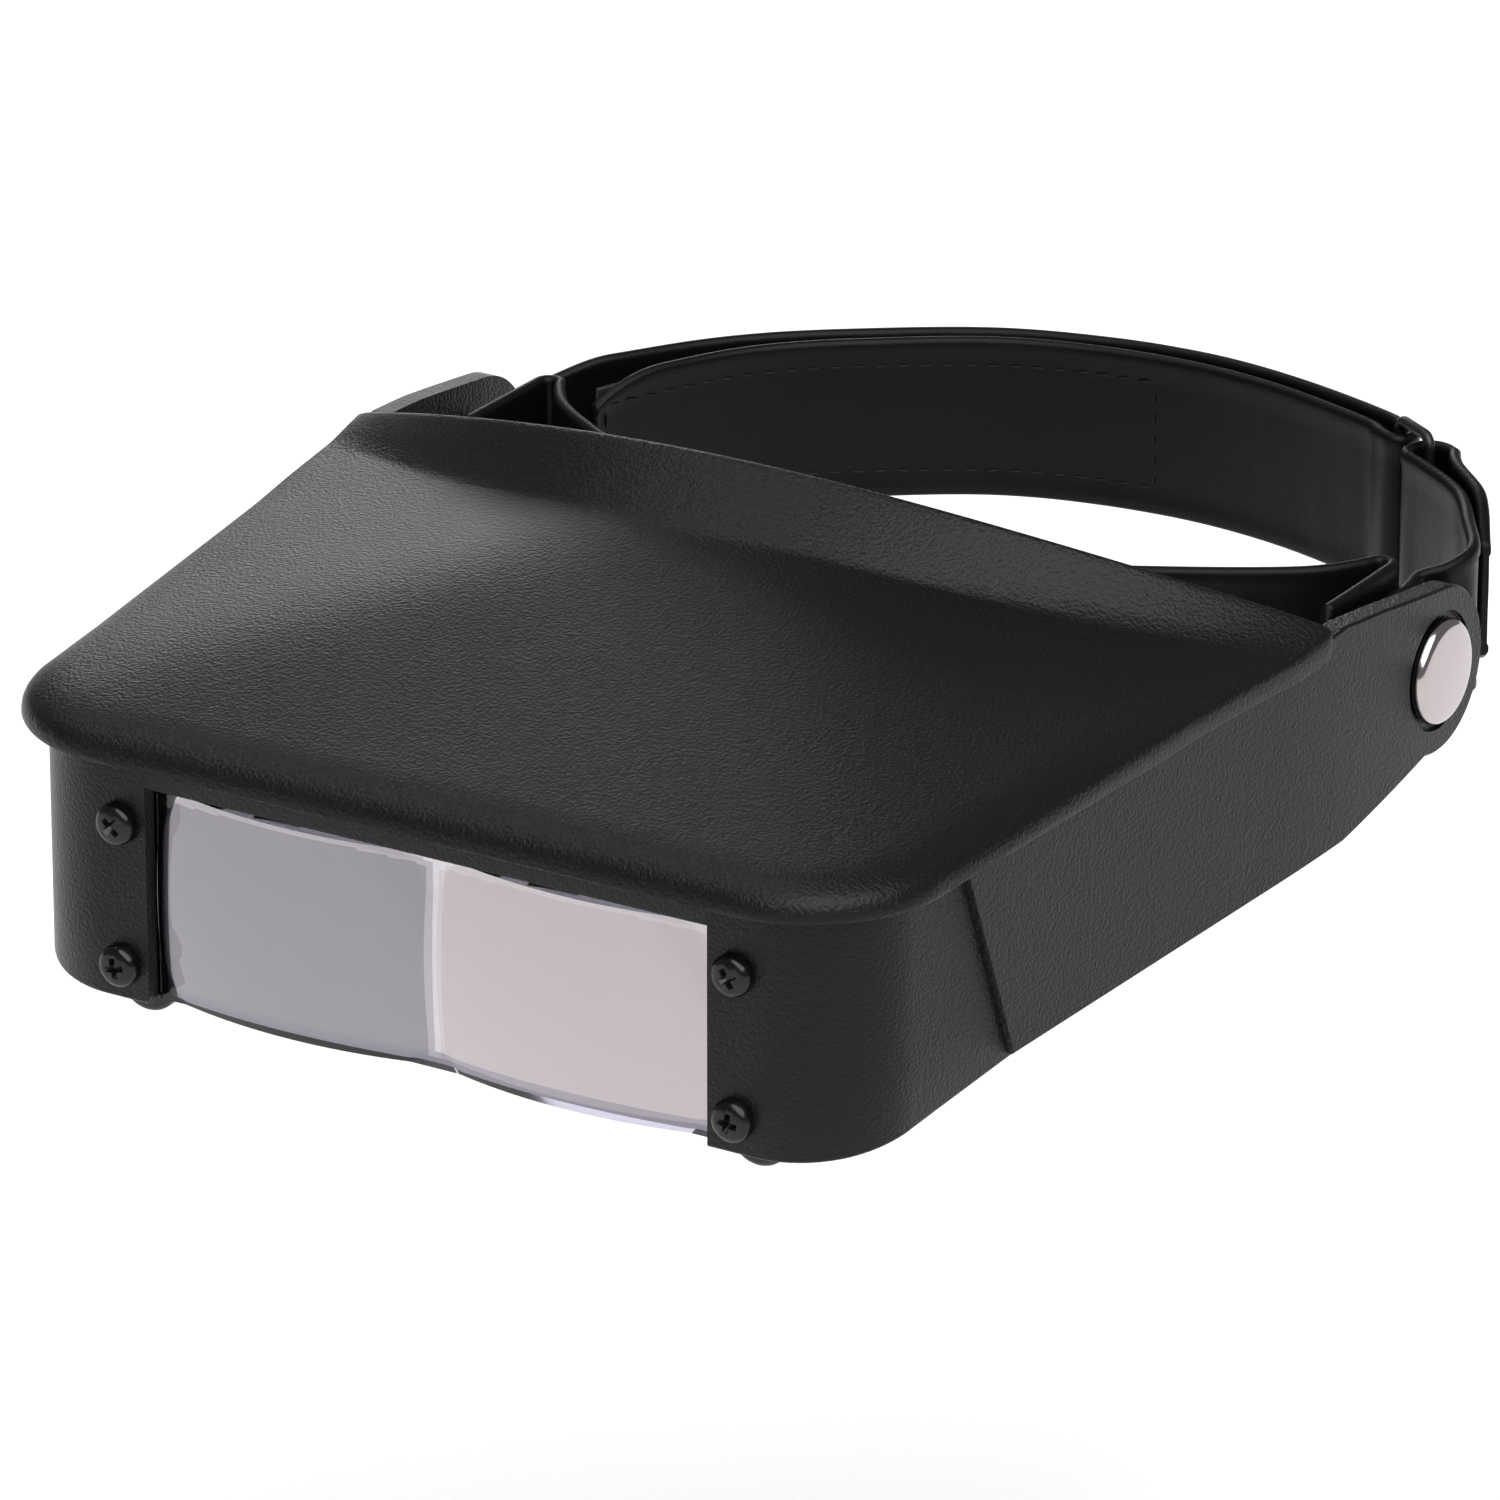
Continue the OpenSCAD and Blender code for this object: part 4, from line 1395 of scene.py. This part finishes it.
@dataclass
class SnapCaps:
    """The domed chrome caps of the two tilt pivots."""

    finishes: Finishes
    radius: float = 7.5
    height: float = 2.5
    rim_height: float = 1.0
    shoulder_width: float = 1.5
    shoulder_height: float = 1.15
    dome_steps: int = 6

    def build(self, side: Side) -> bpy.types.Object:
        """Builds one cap on its arm.

        Args:
            side: The side it is on.

        Returns:
            The cap.
        """
        name = f"snap_cap_{side.name.lower()}"
        low, high = cad_box(name)
        outer = high.x if side is Side.RIGHT else -low.x
        r, height, steps = self.radius, self.height, self.dome_steps
        profile = [(3.0, 0.0), (r - 0.5, 0.0), (r - 0.12, 0.2), (r, 0.6), (r - 0.05, self.rim_height)]
        profile += [(r - 0.05 - self.shoulder_width * (1 - math.cos(t)),
                     self.rim_height + self.shoulder_height * math.sin(t))
                    for t in (0.3, 0.6, 0.9, 1.2, 1.45)]
        dome_r, dome_z = profile[-1]
        profile += [(dome_r * (1 - k / steps), dome_z + (height - dome_z) * (1 - (1 - k / steps) ** 2))
                    for k in range(1, steps)] + [(0.05, height)]
        cap = lathe(f"cap_{side.name.lower()}", profile, self.finishes.cap, turns=96)
        turn = Matrix.Rotation(side.value * math.pi / 2, 4, "Y")
        moved(cap, Matrix.Translation((side.value * (outer - height), 0, 0)) @ turn)
        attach(cap, Body.HOOD.value)
        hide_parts(name)
        return cap


# -------------------------------------------------------------------- headband


@dataclass
class Headband:
    """The forehead band with its pad, the two straps and their ring.

    The lines of the straps and the band are the CAD's own, from the same sizes.
    """

    finishes: Finishes
    thickness: float = 2.0
    height: float = 25.0
    strap_front: float = -12.0
    straight: float = 5.5
    bend_lead: float = 3.5
    end_lead: float = 1.2
    patch: float = 1.0
    ring_angle: float = -32.0
    ring_pitch: float = 8.5
    loose_fold: float = 3.2
    band_turn: float = 1.8
    band_turn_y: float = 4.4
    pad: float = 4.0
    taper: float = 0.24
    taper_from: float = 16.0
    taper_to: float = 32.0
    under_taper: float = 1.6
    under_lag: float = 14.0
    loose_taper_run: float = 14.0
    path_steps: int = 6
    mesh_step: float = 0.8
    fold_steps: int = 12
    wire_radius: float = 0.8
    wire_bend: float = 1.6
    stitch_inset: float = 4.4
    stitch_box: int = 88

    def __post_init__(self) -> None:
        """Reads the plan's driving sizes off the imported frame."""
        self.strap_x = cad_box("snap_stud_right")[0].x - self.thickness / 2
        self.loop = cad_box("adjusting_strap")[1].y - self.thickness / 2
        self.brow = -cad_box("forehead_band")[0].y - self.thickness / 2
        self.fold_x = self.strap_x - self.thickness
        turn = math.radians(self.ring_angle)
        self.ring_dir = Vector((math.cos(turn), math.sin(turn)))
        self.ring_out = Vector((-math.sin(turn), math.cos(turn)))
        self.bar_rear = Vector((0.642 * self.strap_x, 0.8 * self.loop))
        self.bar_front = self.bar_rear + self.ring_pitch * self.ring_dir
        self.stitches = Stitching(self.finishes.thread)

    def _folded(self, line: PlanLine, offsets: list[float], start: int) -> PlanLine:
        """The line followed by its turn to the right and the layer that comes back.

        Args:
            line: The outer layer.
            offsets: Distance to the inner layer at each point of the line.
            start: Point of the line at which the inner layer ends.

        Returns:
            The whole folded line.
        """
        last = len(line.points) - 1
        radius = offsets[last] / 2
        centre = line.shifted(last, -radius)
        side = line.beside(last)
        angle = math.degrees(math.atan2(side.y, side.x))
        turn = arc(centre, radius, angle, angle - 180, self.fold_steps)
        back = [line.shifted(i, -offsets[i]) for i in range(last, start - 1, -1)]
        return PlanLine(line.points + turn[1:-1] + back)

    def _adjusting_line(self) -> tuple[PlanLine, PlanLine]:
        """The adjusting strap's outer layer, and its whole folded line.

        Returns:
            The two lines.
        """
        s, d = self.strap_x, self.loop
        pitch, spread = self.thickness + 2 * self.patch, 5
        near = self.bar_rear + pitch / 2 * self.ring_out
        line = PlanLine.through([
            (-s, self.strap_front), (-s, -self.straight), (-s, self.straight),
            (-s, self.straight + self.bend_lead), (-0.93 * s, 0.27 * d), (-0.79 * s, 0.5 * d),
            (-0.61 * s, 0.69 * d), (-0.345 * s, 0.888 * d), (-0.13 * s, 0.975 * d), (0.107 * s, d),
            (0.35 * s, 0.964 * d), tuple(near - 7 * self.ring_dir),
            tuple(near - self.end_lead * self.ring_dir)], self.path_steps)
        line.points.append(near)
        start, closed = 3 * self.path_steps + 3, 6 * self.path_steps
        offsets = [pitch + spread * max(0.0, (closed - i) / (closed - start)) ** 1.5
                   for i in range(len(line.points))]
        return line, self._folded(line, offsets, start)

    def _short_line(self) -> PlanLine:
        """The short strap's folded line.

        Returns:
            The line.
        """
        s, d = self.strap_x, self.loop
        near = self.bar_front - self.loose_fold * self.ring_out
        line = PlanLine.through([
            (s, self.strap_front), (s, -self.straight), (s, self.straight),
            (s, self.straight + self.bend_lead), (1.045 * s, 0.19 * d), (1.055 * s, 0.27 * d),
            (0.985 * s, 0.4 * d), (0.9 * s, 0.54 * d), tuple(near + 5 * self.ring_dir),
            tuple(near + self.end_lead * self.ring_dir)], self.path_steps)
        line.points.append(near)
        last = len(line.points) - 1
        start, full = 6 * self.path_steps, last - 3
        tail = self.thickness + 0.3
        offsets = [tail + (2 * self.loose_fold - tail) * clamped((i - start) / (full - start)) ** 2
                   for i in range(last + 1)]
        return self._folded(line, offsets, start)

    def _band_line(self) -> tuple[PlanLine, int]:
        """The forehead band's line, and the number of points in each folded end.

        Returns:
            The line and the number.
        """
        s, b = self.strap_x, self.brow
        centre = Vector((self.fold_x - self.band_turn, self.band_turn_y))
        fold = [Vector((self.fold_x, self.strap_front - 2)), Vector((self.fold_x, self.strap_front / 2)),
                Vector((self.fold_x, self.band_turn_y))] + arc(centre, self.band_turn, 20, 160, 7)
        side = [(self.fold_x - 2 * self.band_turn, self.band_turn_y), (0.83 * s, -0.12 * b),
                (0.57 * s, -0.52 * b), (0.29 * s, -0.87 * b)]
        brow = PlanLine.through(side + [(0, -b)] + [(-x, y) for x, y in reversed(side)], self.path_steps)
        mirrored = [Vector((-p.x, p.y)) for p in reversed(fold)]
        return PlanLine(fold + brow.points + mirrored), len(fold)

    def _wrinkle(self, depth: float, spacing: float,
                 length: float = 0.0) -> Callable[[float, float, float], Plan]:
        """Fine upright wrinkles that fade toward the hems, and the narrowed ends of a strap.

        Args:
            depth: Height of the wrinkles in millimetres.
            spacing: Mean distance between them in millimetres.
            length: Length of a strap that narrows at its snap and its loose end; 0 keeps the full height.

        Returns:
            A function for sweep's stir.
        """
        def stir(run: float, offset: float, height: float) -> Plan:
            """Added offset and lift of a strap's point.

            Args:
                run: Distance along the strap.
                offset: Distance from its middle.
                height: Level.

            Returns:
                The added offset and lift.
            """
            middle = max(0.0, 1 - (abs(height) / (self.height / 2)) ** 4)
            wave = noise(Vector((run / spacing, height / 9, offset)))
            slow = noise(Vector((run / 19, height / 30, 7.0)))
            lift = 0.18 * noise(Vector((run / 23, 3.0, 1.0)))
            if length:
                reach, share = self.taper_to, self.taper
                if height <= 0:
                    reach, share = self.taper_to + self.under_lag, self.under_taper * self.taper
                t = clamped((run - self.taper_from) / (reach - self.taper_from))
                loose = max(0.0, 1 - (length - run) / self.loose_taper_run)
                lift -= height * (share * (1 - eased(t)) + self.under_taper * self.taper * loose ** 2)
            return depth * middle * wave + 0.12 * slow, lift
        return stir

    def _strap(self, name: str, line: PlanLine, node: str, wrinkle: float) -> bpy.types.Object:
        """One hemmed strap along a folded line, standing for its CAD node.

        Args:
            name: Object name.
            line: Folded line of its middle.
            node: CAD node that it replaces.
            wrinkle: Height of its wrinkles in millimetres.

        Returns:
            The strap.
        """
        even = line.evened(self.mesh_step)
        profile = hemmed_profile(self.thickness - 0.12, self.height - 0.5, 2.6, 0.22)
        length = self.mesh_step * len(even.points)
        strap = sweep(name, even, profile, self.finishes.vinyl, self._wrinkle(wrinkle, 4.5, length))
        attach(strap, Body.BAND.value)
        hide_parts(node)
        return strap

    def build_straps(self) -> list[bpy.types.Object]:
        """Builds the two straps and sews the hook tape's stitch box.

        Returns:
            The adjusting strap and the short one.
        """
        outer_line, whole = self._adjusting_line()
        adjusting = self._strap("strap_adjusting_vinyl", whole, "adjusting_strap", 0.10)
        inner = PlanLine(whole.points[len(outer_line.points) + self.fold_steps - 1:]).evened(1.0)
        # The hook tape's stitch box on the free end: two level rows and two upright ones.
        face, level = self.thickness / 2 - 0.3, self.height / 2 - self.stitch_inset
        count = len(inner.points)
        box_from = count - self.stitch_box
        for sign in (-1, 1):
            self.stitches.level_row(inner, face, sign * level, box_from, count - 2)
        for at in (box_from, count - 3):
            self.stitches.upright_row(inner, face, at, -level, level)
        return [adjusting, self._strap("strap_short_vinyl", self._short_line(), "short_strap", 0.08)]

    def build_brow(self) -> list[bpy.types.Object]:
        """Builds the forehead band and its pad.

        Returns:
            The two pieces.
        """
        line, fold_count = self._band_line()
        profile = hemmed_profile(self.thickness - 0.12, self.height - 0.3, 2.8, 0.2)
        band = sweep("forehead_band_vinyl", line.evened(self.mesh_step), profile, self.finishes.vinyl,
                     self._wrinkle(0.10, 2.6))
        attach(band, Body.BAND.value)
        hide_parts("forehead_band")
        first = fold_count + self.path_steps + 2
        core = PlanLine(line.points[first:len(line.points) - first]).evened(1.0)
        return [band, self._pad(core)]

    def _pad(self, core: PlanLine) -> bpy.types.Object:
        """The foam pad: crowned, with sewn edges and fine upright wrinkles, closed at both ends.

        Args:
            core: The band's line behind the pad, 1 mm a step.

        Returns:
            The pad.
        """
        half = self.height / 2 - 0.8
        inner = -self.thickness / 2
        rows = 26
        total = len(core.points) - 1
        points: list[Point] = []
        for run in range(len(core.points)):
            ends = math.sqrt(max(0.02, 1 - abs(2 * run / total - 1) ** 10))
            ring: list[Plan] = []
            for k in range(rows + 1):
                t = 2 * k / rows - 1
                crown = (1 - abs(t) ** 3.2) ** 0.6 if abs(t) < 1 else 0.0
                fine = 0.16 * noise(Vector((run / 1.9, t * 2.2, 2.0)))
                fine += 0.12 * noise(Vector((run / 5.3, t, 5.0)))
                swell = ends * (crown * (self.pad - 0.5) + 0.3 + crown * fine)
                ring.append((inner - 0.1 - swell, t * half * ends))
            ring += [(inner, -t * half * ends) for t in (-0.96, -0.5, 0.0, 0.5, 0.96)]
            for offset, z in ring:
                spot = core.shifted(run, offset)
                points.append((spot.x, spot.y, z))
        faces = skin(len(core.points), len(ring))
        pad = add_mesh("forehead_pad_foam", points, faces, self.finishes.padding)
        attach(pad, Body.BAND.value)
        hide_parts("forehead_pad")
        return pad

    def build_ring(self) -> bpy.types.Object:
        """Builds the wire ring with bent corners.

        Returns:
            The ring.
        """
        radius, bend, sides = self.wire_radius, self.wire_bend, 14
        top = cad_box("strap_ring")[1].z - radius
        half = self.ring_pitch / 2
        corners = [(half - bend, top - bend, 0), (-half + bend, top - bend, 90),
                   (-half + bend, -top + bend, 180), (half - bend, -top + bend, 270)]
        path: list[Vector] = []
        for cx, cz, start in corners:
            path += [Vector((cx + bend * math.cos(math.radians(start + a)), 0,
                             cz + bend * math.sin(math.radians(start + a)))) for a in range(0, 91, 15)]
        n = len(path)
        points: list[Point] = []
        middle = (self.bar_rear + self.bar_front) / 2
        swing = Matrix.Rotation(math.radians(self.ring_angle), 4, "Z")
        turn = Matrix.Translation((middle.x, middle.y, 0)) @ swing
        beside = Vector((0, 1, 0))
        for i, at in enumerate(path):
            out = (path[(i + 1) % n] - path[i - 1]).normalized().cross(beside)
            for k in range(sides):
                a = 2 * math.pi * k / sides
                points.append(tuple(turn @ (at + radius * (math.cos(a) * out + math.sin(a) * beside))))
        faces = [(i * sides + k, i * sides + (k + 1) % sides, ((i + 1) % n) * sides + (k + 1) % sides,
                  ((i + 1) % n) * sides + k) for i in range(n) for k in range(sides)]
        ring = add_mesh("ring_wire", points, faces, self.finishes.wire)
        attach(ring, Body.RING.value)
        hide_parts("strap_ring")
        return ring

    def build(self) -> list[bpy.types.Object]:
        """Builds the whole headband and gives its pieces.

        Returns:
            Every piece of it.
        """
        pieces = self.build_straps() + self.build_brow() + [self.build_ring()]
        sewn = self.stitches.build("stitching_thread")
        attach(sewn, Body.BAND.value)
        return pieces + [sewn]


# ----------------------------------------------------------------------- studio


@dataclass(frozen=True)
class Softbox:
    """A square soft light that faces the object; lengths in metres, power in watts."""

    name: str
    towards: Point
    distance: float
    size: float
    power: float

    def build(self) -> None:
        """Hangs the light in its direction from the object."""
        data = bpy.data.lights.new(self.name, "AREA")
        data.shape = "SQUARE"
        data.size = self.size
        data.energy = self.power
        lamp = bpy.data.objects.new(self.name, data)
        lamp.location = Vector(self.towards).normalized() * self.distance
        lamp.rotation_euler = (-lamp.location).to_track_quat("-Z", "Y").to_euler()
        bpy.context.scene.collection.objects.link(lamp)


@dataclass
class Studio:
    """Camera, floor and soft lights; lengths in metres, angles in degrees, the lens in millimetres."""

    azimuth: float = 31.458
    elevation: float = 22.5
    distance: float = 1.55
    shift_right: float = -0.026491
    shift_up: float = -0.026699
    focal: float = 265.37
    sensor: float = 36.0
    floor_drop: float = 0.16
    floor_half: float = 6.0
    surround: float = 0.2
    fill_power: float = 3.8
    fill_spread: float = 70.0
    fill_from: Point = (0.45, -0.5, 1.0)
    softboxes: tuple[Softbox, ...] = (
        Softbox("top_softbox", (-0.48, 0.11, 0.87), 1.5, 0.5, 3.0),
        Softbox("rear_softbox", (-0.60, 0.77, 0.24), 1.6, 0.5, 2.6))

    def _axes(self) -> tuple[Vector, Vector, Vector]:
        """Right, up and back directions of the camera.

        Returns:
            The three unit vectors.
        """
        a, e = math.radians(self.azimuth), math.radians(self.elevation)
        back = Vector((math.sin(a) * math.cos(e), -math.cos(a) * math.cos(e), math.sin(e)))
        right = Vector((math.cos(a), math.sin(a), 0))
        return right, back.cross(right), back

    def camera(self) -> None:
        """Sets the camera well back with a long lens, above and to the wearer's left of the lenses."""
        right, up, back = self._axes()
        data = bpy.data.cameras.new("camera")
        data.lens = self.focal
        data.sensor_width = self.sensor
        data.clip_end = 20.0
        camera = bpy.data.objects.new("camera", data)
        basis = Matrix((right, up, back)).transposed().to_4x4()
        basis.translation = back * self.distance + right * self.shift_right + up * self.shift_up
        camera.matrix_world = basis
        bpy.context.scene.collection.objects.link(camera)
        bpy.context.scene.camera = camera

    def floor(self) -> None:
        """Lays the plain pale floor below the object."""
        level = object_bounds()[0][2] - self.floor_drop
        mesh = bpy.data.meshes.new("floor")
        half = self.floor_half
        corners = [(x * half, y * half, level) for x, y in ((-1, -1), (1, -1), (1, 1), (-1, 1))]
        mesh.from_pydata(corners, [], [(0, 1, 2, 3)])
        material = bpy.data.materials.new("studio_paper_matt")
        material.use_nodes = True
        shader = material.node_tree.nodes["Principled BSDF"]
        shader.inputs["Base Color"].default_value = linear("#F7F7F7")
        shader.inputs["Roughness"].default_value = 0.9
        mesh.materials.append(material)
        floor = bpy.data.objects.new("floor", mesh)
        bpy.context.scene.collection.objects.link(floor)
        floor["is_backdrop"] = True

    def _overhead(self) -> None:
        """Adds one wide soft light from behind the camera that keeps the floor evenly pale."""
        data = bpy.data.lights.new("overhead_fill", "SUN")
        data.energy = self.fill_power
        data.angle = math.radians(self.fill_spread)
        lamp = bpy.data.objects.new("overhead_fill", data)
        lamp.rotation_euler = Vector(self.fill_from).to_track_quat("Z", "Y").to_euler()
        bpy.context.scene.collection.objects.link(lamp)

    def lights(self) -> None:
        """Sets a dim even surround, the overhead fill and the softboxes that draw the roof's sheen."""
        world = bpy.data.worlds.new("surround")
        world.use_nodes = True
        back = world.node_tree.nodes["Background"]
        back.inputs["Color"].default_value = (1.0, 1.0, 1.0, 1.0)
        back.inputs["Strength"].default_value = self.surround
        bpy.context.scene.world = world
        self._overhead()
        for softbox in self.softboxes:
            softbox.build()
        bpy.context.scene.view_settings.view_transform = "Standard"

    def build(self) -> None:
        """Builds the camera, the floor and the lights."""
        self.camera()
        self.floor()
        self.lights()


def dress_frame(frame: dict, finishes: Finishes) -> None:
    """Gives every CAD node that stays visible its finish.

    Args:
        frame: The loaded frame.
        finishes: All the finishes.
    """
    slots = {row["node"]: row["material_slot"] for row in frame["record"]["subparts"]}
    by_slot = {
        "hood_abs": finishes.hood, "lens_acrylic": finishes.lens, "clamp_abs": finishes.clamp,
        "screw_black": finishes.screw, "snap_chrome": finishes.cap, "snap_steel": finishes.snap,
        "band_vinyl": finishes.vinyl, "pad_vinyl": finishes.padding, "ring_black": finishes.wire,
        "hook_pile": finishes.pile, "loop_pile": finishes.pile}
    for name, piece in frame["nodes"].items():
        for place in piece.material_slots:
            place.material = by_slot[slots[name]]


def main() -> None:
    """Builds the visor's looks in order."""
    logging.basicConfig(level=logging.INFO)
    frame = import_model()
    finishes = Finishes()
    Studio().build()
    dress_frame(frame, finishes)
    hood = Hood(finishes)
    pieces = [hood.build(), LensPlate(finishes).build(hood), Screws(finishes).build(hood)]
    for side in Side:
        pieces += [Clamps(finishes).build(side), SnapCaps(finishes).build(side)]
    pieces += Headband(finishes).build()
    for piece in pieces:
        LOG.info("%s built, %d faces", piece.name, len(piece.data.polygons))


if __name__ == "__main__":
    main()
